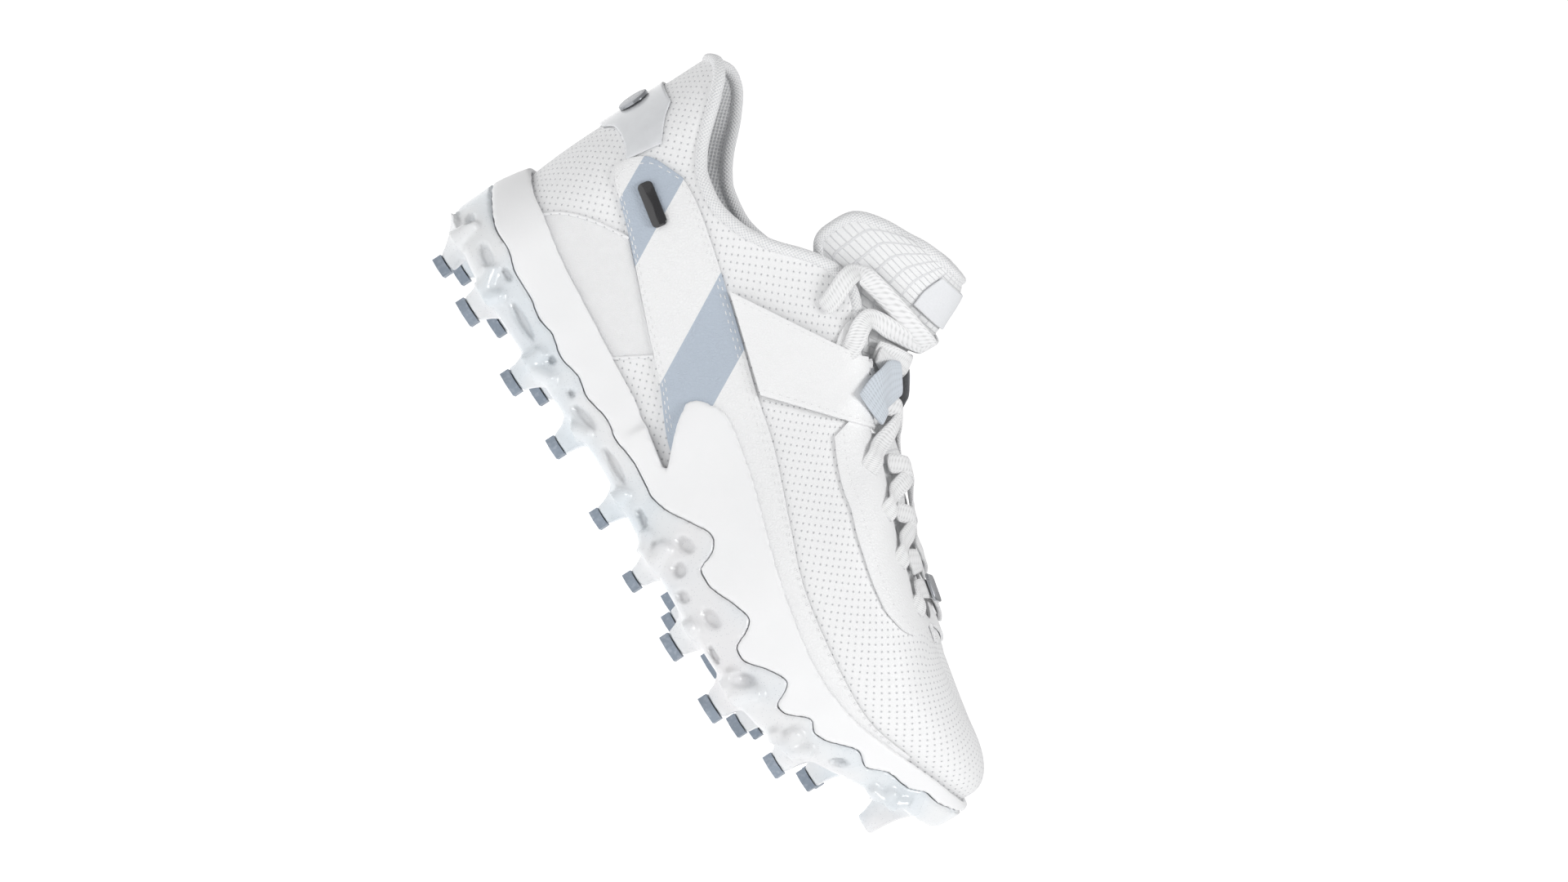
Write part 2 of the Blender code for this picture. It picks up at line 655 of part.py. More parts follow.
def add_outsole(parent):
    turns = [i / SOLE_STATIONS for i in range(SOLE_STATIONS + 1)]
    ice = new_material("ice_rubber", (0.83, 0.85, 0.87), 0.35)
    slate = new_material("slate_rubber", (0.20, 0.24, 0.30), 0.45)
    outsole = new_object("outsole", loft([outsole_ring(turn) for turn in turns]), ice, parent)
    studs = rows_of(STUDS)
    stems = [stud_rings(row, tip_bottom(row) + TIP_HEIGHT + GAP) for row in studs] + [toe_stud_rings()]
    for number, rings in enumerate(stems, 1):
        helper = new_helper(f"stem_{number:02d}", loft(rings, closed_ends=True), parent)
        add_boolean(outsole, helper, "UNION")
    for side, word in ((OUTER, "outer"), (INNER, "inner")):
        for number, row in enumerate(rows_of(FINGERS), 1):
            helper = new_helper(
                f"finger_{word}_{number:02d}", loft(finger(side, row), closed_ends=True), parent
            )
            add_boolean(outsole, helper, "UNION")
    for number, row in enumerate(studs, 1):
        bottom = tip_bottom(row)
        ring = stud_rings(row, bottom + TIP_HEIGHT + GAP)[0]
        rings = [
            [raised(point, bottom) for point in ring],
            [raised(point, bottom + TIP_HEIGHT) for point in ring],
        ]
        new_object(f"stud_tip_{number:02d}", loft(rings, closed_ends=True), slate, parent)


def midsole_ring(turn):
    share = share_at(turn)
    crest = wave_height(share) + CUP_GAP

    def chain(side):
        rim = rim_height(side, share)
        rim_level = level_at_height(side, share, rim)
        rim_inset = BULGE_INSET + UPPER_CORNER * (1 - math.sin(rim_level * math.pi / 2)) - CUP_GAP
        points = [
            over(outline(side, turn, SIDE_WALL + 0.0012 + CUP_GAP), plate_height, PLATE + GAP),
            raised(outline(side, turn, SIDE_WALL + 0.0002 + GAP), crest),
            raised(outline(side, turn), crest),
        ]
        for part in (0.45, 1.0):
            inset = (rim_inset - MIDSOLE_RIM) * part**1.5
            points.append(raised(outline(side, turn, inset), crest + (rim - crest) * part))
        for part in (1.0, 0.5, 0.0):
            level = rim_level * part
            angle = level * math.pi / 2
            surface = upper_point(side, turn, level)
            inset = BULGE_INSET + UPPER_CORNER * (1 - math.sin(angle)) - CUP_GAP * math.sin(angle)
            points.append(raised(outline(side, turn, inset), surface.z - CUP_GAP * math.cos(angle)))
        return points

    ring = both_sides(chain, plate_height, PLATE + GAP, 0.0)
    middle = len(ring) // 2
    ring[middle] = over(ring[middle], bed_height, -CUP_GAP)
    return ring


def share_to_x(share):
    return (share - 0.5) * SOLE_LENGTH


def share_to_z(part):
    return STUD_HEIGHT + COLLAR_HEIGHT * part


def add_midsole(parent):
    turns = [i / SOLE_STATIONS for i in range(SOLE_STATIONS + 1)]
    foam = new_material("white_foam", (0.86, 0.86, 0.86), 0.55)
    midsole = new_object("midsole", loft([midsole_ring(turn) for turn in turns]), foam, parent)
    points = [(share_to_x(share), share_to_z(part)) for share, part in WAIST_NOTCH]
    cutter = new_helper("waist_notch", prism(points, -BALL_WIDTH, -BALL_WIDTH * 0.2), parent)
    add_boolean(midsole, cutter, "DIFFERENCE")


def add_insole(parent):
    rings = []
    inset = BULGE_INSET + UPPER_CORNER + UPPER_WALL + GAP
    for turn in (i / INSOLE_STATIONS for i in range(INSOLE_STATIONS + 1)):
        def chain(side):
            return [
                over(outline(side, turn, inset + thickness_inset), bed_height, UPPER_WALL + GAP + up)
                for thickness_inset, up in (
                    (0.0, 0.0), (0.0, INSOLE_THICKNESS * 0.7), (0.0012, INSOLE_THICKNESS)
                )
            ]

        rings.append(both_sides(chain, bed_height, UPPER_WALL + GAP, UPPER_WALL + GAP + INSOLE_THICKNESS))
    new_object("insole", loft(rings), new_material("insole_foam", (0.75, 0.77, 0.80), 0.9), parent)


# Upper
def upper_levels():
    low = [-1.0] + [i / UPPER_LOW_LEVELS for i in range(UPPER_LOW_LEVELS)]
    high = [1 + i / UPPER_HIGH_LEVELS for i in range(UPPER_HIGH_LEVELS + 1)]
    return low + high


def lifted_point(side, turn, level, lift):
    """Point over the upper. Where both sides meet it follows the middle of their two normals."""
    point, normal = upper_point(side, turn, level), upper_normal(side, turn, level)
    if (upper_point(-side, turn, level) - point).length < 0.0001:
        normal = (normal + upper_normal(-side, turn, level)).normalized()
    return point + normal * lift


def upper_sheet(lift):
    """Open sheet along the upper, lifted off it along its normals, sides joined at heel, toe and ridge."""
    levels = upper_levels()
    turns = [i / UPPER_STATIONS for i in range(UPPER_STATIONS + 1)]
    sheet = bmesh.new()
    for side in (OUTER, INNER):
        grid = [
            [sheet.verts.new(lifted_point(side, turn, level, lift)) for level in levels]
            for turn in turns
        ]
        for column, after in zip(grid, grid[1:]):
            for i in range(len(levels) - 1):
                corners = (column[i], column[i + 1], after[i + 1], after[i])
                sheet.faces.new(corners if side == INNER else tuple(reversed(corners)))
    bmesh.ops.remove_doubles(sheet, verts=sheet.verts, dist=0.00002)
    bmesh.ops.triangulate(sheet, faces=sheet.faces, quad_method="FIXED")
    return sheet


def add_upper(parent):
    white = new_material("white_synthetic", (0.87, 0.87, 0.87), 0.6)
    upper = new_object("upper", upper_sheet(0.0), white, parent)
    add_solidify(upper, UPPER_WALL, -1.0)


def add_overlay(name, outline_points, reach, thickness, material, parent, lift=GAP):
    """Panel of a side-view outline, cut from the upper's own form lifted off it. Reach is its y range."""
    panel = new_object(name, upper_sheet(lift), material, parent)
    add_solidify(panel, thickness, 1.0)
    points = [(share_to_x(share), share_to_z(part)) for share, part in outline_points]
    add_boolean(panel, new_helper(f"{name}_cut", prism(points, *reach), parent), "INTERSECT")


def reach_of(side):
    """From the middle of the shoe out past one side."""
    return (-BALL_WIDTH, 0.0) if side == OUTER else (0.0, BALL_WIDTH)


def side_panel_outline(side):
    """The long panel: its top edge, and an underside that stays clear of the midsole's rim."""
    def clear_of_rim(share, part, breadth=0.0):
        height = rim_height(side, share) + PANEL_CLEARANCE + breadth
        return share, max(part, (height - STUD_HEIGHT) / COLLAR_HEIGHT)

    shares = (0.452, 0.480, 0.505, 0.570, 0.640, 0.706, 0.755, 0.800, 0.830, 0.858, 0.885, 0.908)
    if side == INNER:
        shares = (0.365, 0.385, 0.405, 0.428) + shares
    rim = [clear_of_rim(share, 0.0) for share in shares]
    brow = [clear_of_rim(*point) for point in WAIST_BROW]
    waist = list(WAIST_SIDE) + brow if side == OUTER else []
    top = [clear_of_rim(*point, PANEL_BREADTH) for point in SIDE_PANEL_TOP]
    return list(SIDE_PANEL) + waist + rim + top


def strap_end(side):
    """Tab of webbing from the strap over the throat's edge and the laces."""
    turn = turn_at(STRAP_END_SHARE)
    edge, middle = top_point(side, turn), top_middle(STRAP_END_SHARE)
    below, out = eyelet_point(side, STRAP_END_SHARE)
    up = Vector((0, 0, 1))
    lift = STRAP_THICKNESS * 2 + 3 * GAP
    path = (
        (below + out * lift, 1.0),
        (edge.lerp(below, 0.2) + (out + up).normalized() * (lift + STRAP_THICKNESS), 1.0),
        (edge.lerp(middle, 0.22) + up * STRAP_END_RISE * 0.7, 0.95),
        (edge.lerp(middle, 0.55) + up * STRAP_END_RISE, 0.70),
    )
    flat = heelward(STRAP_END_SHARE)
    return strip([(point, flat, STRAP_END_WIDTH * wide) for point, wide in path], STRAP_THICKNESS)


def add_overlays(parent):
    grain = new_material("grained_synthetic", (0.85, 0.85, 0.85), 0.5)
    leather = new_material("strap_leather", (0.88, 0.88, 0.88), 0.45)
    webbing = new_material("pale_webbing", (0.62, 0.67, 0.74), 0.7)
    dark_webbing = new_material("dark_webbing", (0.16, 0.17, 0.18), 0.8)
    gloss = new_material("gloss_patch", (0.70, 0.71, 0.72), 0.2)
    whole = (-BALL_WIDTH, BALL_WIDTH)
    for side, word in ((OUTER, "outer"), (INNER, "inner")):
        reach = reach_of(side)
        add_overlay(f"side_panel_{word}", side_panel_outline(side), reach, OVERLAY, grain, parent)
        add_overlay(f"strap_{word}", STRAP, reach, STRAP_THICKNESS, leather, parent)
        ends = webbing if side == OUTER else dark_webbing
        new_object(f"strap_end_{word}", strap_end(side), ends, parent)
    add_overlay("heel_strap", HEEL_STRAP, whole, OVERLAY, gloss, parent)
    add_overlay("eyestay", EYESTAY, whole, OVERLAY, grain, parent)


def add_collar_roll(parent):
    """Padded binding that sits on the top edge of the wall, round the heel from throat to throat."""
    turns = [
        i / UPPER_STATIONS for i in range(UPPER_STATIONS + 1) if share_at(i / UPPER_STATIONS) <= COLLAR_END
    ]
    path = [(OUTER, turn) for turn in reversed(turns)] + [(INNER, turn) for turn in turns[1:]]
    centres = []
    for side, turn in path:
        centre = top_point(side, turn) - upper_normal(side, turn, 1.9) * (UPPER_WALL / 2)
        if turn == 0:
            centre = top_point(side, turn) + Vector((UPPER_WALL / 2, 0, 0))
        centres.append(raised(centre, top_point(side, turn).z - COLLAR_ROLL / 2))
    rings = []
    for i, centre in enumerate(centres):
        before, after = centres[max(i - 1, 0)], centres[min(i + 1, len(centres) - 1)]
        along = (after - before).normalized()
        across = along.cross(Vector((0, 0, 1))).normalized()
        up = across.cross(along)
        rings.append([
            centre + (across * math.cos(angle) + up * math.sin(angle)) * COLLAR_ROLL / 2
            for angle in (math.pi / 3 * step for step in range(6))
        ])
    mesh_knit = new_material("mesh_knit", (0.85, 0.85, 0.86), 0.8)
    new_object("collar_roll", loft(rings, closed_ends=True), mesh_knit, parent)


# Tongue and laces
def tongue_row(middle, edges):
    """Points across the tongue, from its outer edge over the middle to its inner edge."""
    row = []
    for step in range(-TONGUE_STEPS, TONGUE_STEPS + 1):
        edge = edges[0] if step < 0 else edges[1]
        angle = abs(step) / TONGUE_STEPS * math.pi / 2
        point = middle.lerp(edge, 1 - math.cos(angle))
        point.y = middle.y + (edge.y - middle.y) * math.sin(angle)
        row.append(point)
    return row


def top_middle(share):
    """Middle of the opening at a share of the top line."""
    return (top_point(OUTER, turn_at(share)) + top_point(INNER, turn_at(share))) / 2


def tongue_point(across, up):
    """Front of the tongue's free part, from -1 at its outer edge to 1, and from 0 at the throat to 1."""
    middle = raised(
        top_middle(tongue_rows("middle_at", up)),
        STUD_HEIGHT + TONGUE_HEIGHT * tongue_rows("middle_height", up),
    )
    edge = raised(
        top_middle(tongue_rows("edge_at", up)),
        STUD_HEIGHT + TONGUE_HEIGHT * tongue_rows("edge_height", up),
    )
    angle = abs(across) * math.pi / 2
    half = math.copysign(COLLAR_WIDTH / 2 * tongue_rows("half", up), across)
    point = middle.lerp(edge, 1 - math.cos(angle))
    point.y = middle.y + (edge.y + half - middle.y) * math.sin(angle)
    return point


def tongue_rise(up):
    """Direction up the middle of the tongue's free part."""
    return (tongue_point(0, min(up + 0.05, 1.0)) - tongue_point(0, max(up - 0.05, 0.0))).normalized()


def tongue_front(across, up, lift):
    """Point lifted off the front of the tongue."""
    small = 0.01
    sideways = tongue_point(across + small, up) - tongue_point(across - small, up)
    upwards = tongue_point(across, up + small) - tongue_point(across, max(up - small, 0.0))
    return tongue_point(across, up) + sideways.cross(upwards).normalized() * lift


def tongue_height(point):
    """Height of the tongue's front between the throat's edges at a point's place."""
    share = (point.x - TOP_LINE_START) / COLLAR_LENGTH
    middle = top_middle(share)
    half = (top_point(INNER, turn_at(share)) - middle).y * tongue_base("spread", share)
    crown, drop = tongue_base("crown", share), tongue_base("drop", share)
    sine = min(abs(point.y - middle.y) / half, 1.0)
    return middle.z + crown - (crown + drop) * (1 - math.sqrt(1 - sine**2))


def add_tongue(parent):
    rows = []
    for base in rows_of(TONGUE_BASE):
        turn = turn_at(base["share"])
        tops = [top_point(side, turn) for side in (OUTER, INNER)]
        middle = (tops[0] + tops[1]) / 2
        edges = [middle + (top - middle) * base["spread"] for top in tops]
        rows.append(tongue_row(
            raised(middle, middle.z + base["crown"]), [raised(edge, edge.z - base["drop"]) for edge in edges]
        ))
    for row in rows_of(TONGUE_ROWS):
        rows.append([
            tongue_point(step / TONGUE_STEPS, row["share"]) for step in range(-TONGUE_STEPS, TONGUE_STEPS + 1)
        ])
    sheet = bmesh.new()
    grid = [[sheet.verts.new(point) for point in row] for row in rows]
    for row, after in zip(grid, grid[1:]):
        for i in range(len(row) - 1):
            sheet.faces.new((row[i], row[i + 1], after[i + 1], after[i]))
    ripstop = new_material("ripstop", (0.86, 0.86, 0.86), 0.7)
    tongue = new_object("tongue", sheet, ripstop, parent)
    add_solidify(tongue, TONGUE_THICKNESS, -1.0)


def eyelet_point(side, share):
    """Place of an eyelet on the upper, down from the throat's edge, and the direction out of it."""
    turn = turn_at(share)
    level, walked = 2.0, 0.0
    point = upper_point(side, turn, level)
    while walked < EYELET_INSET:
        level -= 0.01
        below = upper_point(side, turn, level)
        walked += (below - point).length
        point = below
    return point, upper_normal(side, turn, level)


def heelward(share):
    """Direction along the middle of the opening towards the heel."""
    return (top_middle(share - 0.02) - top_middle(share + 0.02)).normalized()


def strip(path, thickness):
    """Flat strip along a path of points, each with a direction that the strip's width follows, and the width."""
    points = [point for point, _, _ in path]
    rings = []
    for i, (point, flat, width) in enumerate(path):
        along = (points[min(i + 1, len(points) - 1)] - points[max(i - 1, 0)]).normalized()
        across = (flat - along * flat.dot(along)).normalized() * width / 2
        up = across.cross(along).normalized() * thickness / 2
        rings.append([point - across - up, point + across - up, point + across + up, point - across + up])
    return loft(rings, closed_ends=True)


def lace_strip(path):
    return strip([(point, flat, LACE_WIDTH) for point, flat in path], LACE_THICKNESS)


def lace_over(side, number):
    """End of a strip that lies on its eyelet and climbs over the throat's edge or the collar's binding."""
    turn = turn_at(EYELETS[number])
    edge, flat = top_point(side, turn), heelward(EYELETS[number])
    eyelet, out = eyelet_point(side, EYELETS[number])
    points = [eyelet + out * (LACE_LIFT + LACE_THICKNESS / 2)]
    if EYELETS[number] > COLLAR_END:
        points.append(edge.lerp(eyelet, 0.25) + (out + Vector((0, 0, 1))).normalized() * LACE_BROW)
    else:
        centre = raised(edge - Vector((0, side, 0)) * UPPER_WALL / 2, edge.z - COLLAR_ROLL / 2)
        for angle in (0.3, 1.35):
            around = Vector((0, side * math.cos(angle), math.sin(angle)))
            points.append(centre + around * (COLLAR_ROLL / 2 + LACE_BROW))
    return [(point, flat) for point in points]


def lace_under(side, number, shift):
    """End of a strip that dips just inside the throat's edge, moved along the throat towards its crossing."""
    share = EYELETS[number] + shift
    edge = top_point(side, turn_at(share))
    place = edge.lerp(top_middle(share), LACE_DIP_INSET)
    return [(raised(place, edge.z + LACE_DIP), heelward(share))]


def crossing(number, material, parent):
    """One X of lace between two pairs of eyelets, of which the toe end comes up out of its eyelets."""
    strips = []
    for side in (OUTER, INNER):
        hidden = number + 1 in (STRAPPED_EYELET, len(EYELETS) - 1)
        start = lace_under(side, number + 1, -LACE_SHIFT) if hidden else lace_over(side, number + 1)
        finish = lace_over(-side, number) if number == 0 else lace_under(-side, number, LACE_SHIFT)
        if number < len(TONGUE_CLIMB):
            lift = LACE_THICKNESS / 2 + LACE_OVER_TONGUE
            middle = [
                (tongue_front(across * -side, up, lift), tongue_rise(up)) for across, up in TONGUE_CLIMB[number]
            ]
            finish = finish if number == 0 else []
        else:
            flat = heelward((EYELETS[number] + EYELETS[number + 1]) / 2)
            middle = []
            for part in (0.33, 0.67):
                point = start[-1][0].lerp(finish[-1][0], part)
                point.z = max(point.z, tongue_height(point) + LACE_CROWN)
                middle.append((point, flat))
        strips.append(lace_strip(start + middle + list(reversed(finish))))
    name = f"lace_cross_{number + 1}"
    first = new_object(name, strips[0], material, parent)
    add_boolean(first, new_helper(f"{name}_other", strips[1], parent), "UNION")


def add_laces(parent):
    lace = new_material("lace_weave", (0.86, 0.86, 0.86), 0.8)
    last = len(EYELETS) - 1
    for number in range(last):
        crossing(number, lace, parent)
    outer, inner = lace_over(OUTER, last), lace_over(INNER, last)
    middle = (outer[-1][0] + inner[-1][0]) / 2 + Vector((0, 0, LACE_THICKNESS))
    strip = outer + [(middle, heelward(EYELETS[last]))] + list(reversed(inner))
    new_object("lace_bar", lace_strip(strip), lace, parent)
    metal = new_material("keeper_metal", (0.35, 0.36, 0.38), 0.3, 1.0)
    along, across = heelward(EYELETS[last]), Vector((0, 1, 0))
    up = across.cross(along)
    corners = ((1, -0.7), (1, 0.7), (0.7, 1), (-0.7, 1), (-1, 0.7), (-1, -0.7), (-0.7, -1), (0.7, -1))
    outline_points = [
        along * KEEPER_WIDTH / 2 * a + across * KEEPER_LENGTH / 2 * b for a, b in corners
    ]
    base = middle + up * (LACE_THICKNESS / 2 + GAP)
    new_object("lace_keeper", plate(base, outline_points, up * KEEPER_THICKNESS), metal, parent)


# Small trim
def plate(base, outline_points, rise):
    """Flat plate of an outline round its base point."""
    rings = [[base + point + lift for point in outline_points] for lift in (Vector(), rise)]
    return loft(rings, closed_ends=True)


def upper_at(side, x, z):
    """Turn and level of the upper's surface at a place seen from the side."""
    turn, level, small = turn_at(x / SOLE_LENGTH + 0.5), 1.5, 0.002
    for _ in range(12):
        point = upper_point(side, turn, level)
        along = (upper_point(side, turn + small, level) - point) / small
        up = (upper_point(side, turn, level + small) - point) / small
        scale = along.x * up.z - along.z * up.x
        turn += ((x - point.x) * up.z - (z - point.z) * up.x) / scale
        level += (along.x * (z - point.z) - along.z * (x - point.x)) / scale
    return turn, level


def add_trim(parent):
    badge = new_material("badge_metal", (0.60, 0.61, 0.63), 0.3)
    black = new_material("black_gloss", (0.02, 0.02, 0.02), 0.15)
    patch = new_material("label_patch", (0.55, 0.57, 0.60), 0.6)
    normal = upper_normal(OUTER, BADGE_TURN, BADGE_LEVEL)
    across = normal.cross(Vector((0, 0, 1))).normalized()
    up = normal.cross(across)
    base = upper_point(OUTER, BADGE_TURN, BADGE_LEVEL) + normal * (OVERLAY + 2 * GAP)
    circle = [
        (across * math.cos(angle) + up * math.sin(angle)) * BADGE_RADIUS
        for angle in (math.pi / 8 * step for step in range(16))
    ]
    new_object("heel_badge", plate(base, circle, normal * BADGE_THICKNESS), badge, parent)

    turn, level = upper_at(OUTER, share_to_x(BAR_PLACE[0]), share_to_z(BAR_PLACE[1]))
    normal = upper_normal(OUTER, turn, level)
    along = (upper_point(OUTER, turn + 0.004, level) - upper_point(OUTER, turn, level)).normalized()
    up = normal.cross(along)
    base = upper_point(OUTER, turn, level) + normal * (OVERLAY + 2 * GAP)
    corners = ((-1, -0.6), (-0.9, -1), (0.9, -1), (1, -0.6), (1, 0.6), (0.9, 1), (-0.9, 1), (-1, 0.6))
    bar = [along * STUD_BAR / 2 * a + up * STUD_BAR_HEIGHT / 2 * b for a, b in corners]
    new_object("side_stud", plate(base, bar, normal * BADGE_THICKNESS), black, parent)

    rings = []
    for up in LABEL_ROWS:
        rings.append([
            tongue_front(across, up, GAP + lift)
            for lift, row in ((0.0, (-1, -0.5, 0, 0.5, 1)), (LABEL_THICKNESS, (1, 0.5, 0, -0.5, -1)))
            for across in (part * LABEL_SPREAD for part in row)
        ])
    new_object("tongue_label", loft(rings, closed_ends=True), patch, parent)


def centre_on_origin(shoe):
    """Move the shoe so that its box is centred over the origin and stands on the ground."""
    bpy.context.view_layer.update()
    graph = bpy.context.evaluated_depsgraph_get()
    corners = [
        shoe_piece.matrix_world @ Vector(corner)
        for shoe_piece in (piece.evaluated_get(graph) for piece in shoe.children if not piece.hide_render)
        for corner in shoe_piece.bound_box
    ]
    low, high = ([pick(corner[axis] for corner in corners) for axis in range(3)] for pick in (min, max))
    shoe.location = (-(low[0] + high[0]) / 2, -(low[1] + high[1]) / 2, -low[2])


def main():
    for item in list(bpy.data.objects):
        bpy.data.objects.remove(item, do_unlink=True)
    shoe = bpy.data.objects.new("shoe", None)
    bpy.context.collection.objects.link(shoe)
    add_outsole(shoe)
    add_midsole(shoe)
    add_insole(shoe)
    add_upper(shoe)
    add_collar_roll(shoe)
    add_tongue(shoe)
    add_overlays(shoe)
    add_laces(shoe)
    add_trim(shoe)
    centre_on_origin(shoe)


main()
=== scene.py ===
import bisect
import math

import bmesh
import bpy
from mathutils import Matrix, Vector


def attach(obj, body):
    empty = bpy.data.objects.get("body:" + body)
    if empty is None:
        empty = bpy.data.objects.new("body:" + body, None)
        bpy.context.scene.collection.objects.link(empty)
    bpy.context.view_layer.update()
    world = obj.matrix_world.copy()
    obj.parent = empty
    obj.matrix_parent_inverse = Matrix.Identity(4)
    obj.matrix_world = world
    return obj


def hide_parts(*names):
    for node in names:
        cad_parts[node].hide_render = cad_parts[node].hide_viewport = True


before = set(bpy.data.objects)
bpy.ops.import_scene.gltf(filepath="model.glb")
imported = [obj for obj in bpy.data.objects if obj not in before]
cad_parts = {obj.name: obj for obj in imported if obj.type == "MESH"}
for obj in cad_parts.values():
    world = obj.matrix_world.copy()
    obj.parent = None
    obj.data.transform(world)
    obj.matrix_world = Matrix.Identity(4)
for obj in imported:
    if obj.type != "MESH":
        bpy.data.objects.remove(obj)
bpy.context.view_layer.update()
print("frame loaded:", len(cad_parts), "nodes")

# A right shoe with its toe to +X, its outer side to -Y. Shares run from 0 at the heel to 1 at the toe.
outer, inner = -1, 1
shift = Vector((0, -0.000403, 0))  # the solids were centred over the origin
up = Vector((0, 0, 1))

# camera
view = {
    "aim": (-0.0005, -0.028, 0.0645),
    "azimuth": 8.0,
    "elevation": 5.5,
    "roll": 57.0,  # toe down and to the right
    "lens": 180.0,
    "distance": 2.424,
}
azimuth, elevation, roll = (math.radians(view[key]) for key in ("azimuth", "elevation", "roll"))
back = Vector((
    math.sin(azimuth) * math.cos(elevation), -math.cos(azimuth) * math.cos(elevation), math.sin(elevation),
))
level = Vector((math.cos(azimuth), math.sin(azimuth), 0))
rise = back.cross(level)
right = level * math.cos(roll) + rise * math.sin(roll)
above = rise * math.cos(roll) - level * math.sin(roll)
camera = bpy.data.objects.new("camera", bpy.data.cameras.new("camera"))
camera.data.lens = view["lens"]
camera.data.clip_end = 50
turned = Matrix((right, above, back)).transposed().to_4x4()
camera.matrix_world = Matrix.Translation(Vector(view["aim"]) + back * view["distance"]) @ turned
bpy.context.collection.objects.link(camera)
bpy.context.scene.camera = camera

# the shoe's form, the same sizes as its solids
form = {
    "soleLength": 0.2465, "ballWidth": 0.085, "heelRound": 0.030, "toeRound": 0.056, "toeFullness": 2.15,
    "studHeight": 0.0095, "tipHeight": 0.003, "archRise": 0.0025, "toeSpring": 0.026, "plate": 0.003,
    "sideWall": 0.0022, "waveHeight": 0.020, "sidewallHeight": 0.0425, "rim": 0.0016, "heelStack": 0.0175,
    "bulgeHeight": 0.035, "bulgeInset": 0.0034, "corner": 0.0042, "margin": 0.006, "wall": 0.0018,
    "collarHeight": 0.101, "collarLength": 0.2165, "topLineStart": -0.486 * 0.2465, "collarWidth": 0.056,
    "collarRoll": 0.0038, "collarEnd": 0.501, "instepHeight": 0.060, "throatWidth": 0.034,
    "throatEnd": 0.862, "throatRound": 0.055, "tongueHeight": 0.1275, "gap": 0.0003, "cupGap": 0.0006,
    "eyeletInset": 0.0065,
}
planRows = [
    (0.00, 0.020, 0.355), (0.10, 0.016, 0.365), (0.20, 0.006, 0.362), (0.32, -0.012, 0.352),
    (0.44, -0.028, 0.368), (0.56, -0.028, 0.428), (0.66, -0.014, 0.484), (0.74, 0.004, 0.500),
    (0.84, 0.030, 0.482), (0.93, 0.050, 0.440), (1.00, 0.066, 0.410),
]
plateRows = [
    (0.00, 0.13, 0.0), (0.05, 0.03, 0.0), (0.15, 0.00, 0.0), (0.28, 0.00, 0.3), (0.40, 0.00, 1.0),
    (0.52, 0.00, 0.3), (0.65, 0.00, 0.0), (0.75, 0.02, 0.0), (0.80, 0.11, 0.0), (0.85, 0.33, 0.0),
    (0.90, 0.60, 0.0), (0.96, 0.89, 0.0), (1.00, 1.00, 0.0),
]
waveRows = [
    (0.00, 0.72), (0.03, 0.71), (0.07, 0.64), (0.10, 0.67), (0.135, 0.58), (0.166, 0.58), (0.20, 0.51),
    (0.222, 0.55), (0.257, 0.46), (0.287, 0.52), (0.317, 0.44), (0.353, 0.49), (0.383, 0.42),
    (0.423, 0.48), (0.464, 0.47), (0.489, 0.56), (0.524, 0.83), (0.555, 1.03), (0.570, 0.94),
    (0.585, 0.60), (0.600, 0.60), (0.645, 0.80), (0.669, 0.88), (0.680, 0.76), (0.692, 0.47),
    (0.706, 0.44), (0.736, 0.68), (0.762, 0.82), (0.770, 0.70), (0.780, 0.44), (0.790, 0.42),
    (0.817, 0.62), (0.834, 0.44), (0.847, 0.42), (0.863, 0.48), (0.878, 0.53), (0.903, 0.32),
    (0.920, 0.42), (0.948, 0.34), (0.964, 0.44), (0.981, 0.42), (1.00, 0.50),
]
bodyRows = [
    (0.00, 0.86, 0.13, 0.97, 0.655, 0.655), (0.04, 1.00, 0.05, 0.96, 0.680, 0.670),
    (0.08, 1.00, 0.00, 0.94, 0.675, 0.660), (0.15, 1.00, 0.00, 0.88, 0.625, 0.630),
    (0.25, 1.00, 0.00, 0.82, 0.565, 0.610), (0.35, 0.97, 0.00, 0.82, 0.490, 0.640),
    (0.383, 0.95, 0.00, 0.85, 0.445, 0.670), (0.394, 0.94, 0.00, 0.86, 0.860, 0.680),
    (0.440, 0.90, 0.00, 0.88, 1.000, 0.720), (0.505, 0.82, 0.00, 0.86, 0.965, 0.740),
    (0.570, 0.76, 0.00, 0.80, 0.880, 0.720), (0.640, 0.70, 0.00, 0.71, 0.775, 0.680),
    (0.706, 0.68, 0.00, 0.62, 0.690, 0.640), (0.800, 0.64, 0.11, 0.55, 0.570, 0.570),
    (0.858, 0.50, 0.36, 0.50, 0.455, 0.455), (0.908, 0.36, 0.63, 0.44, 0.385, 0.385),
    (0.950, 0.26, 0.85, 0.40, 0.345, 0.345), (1.00, 0.22, 1.00, 0.36, 0.320, 0.320),
]
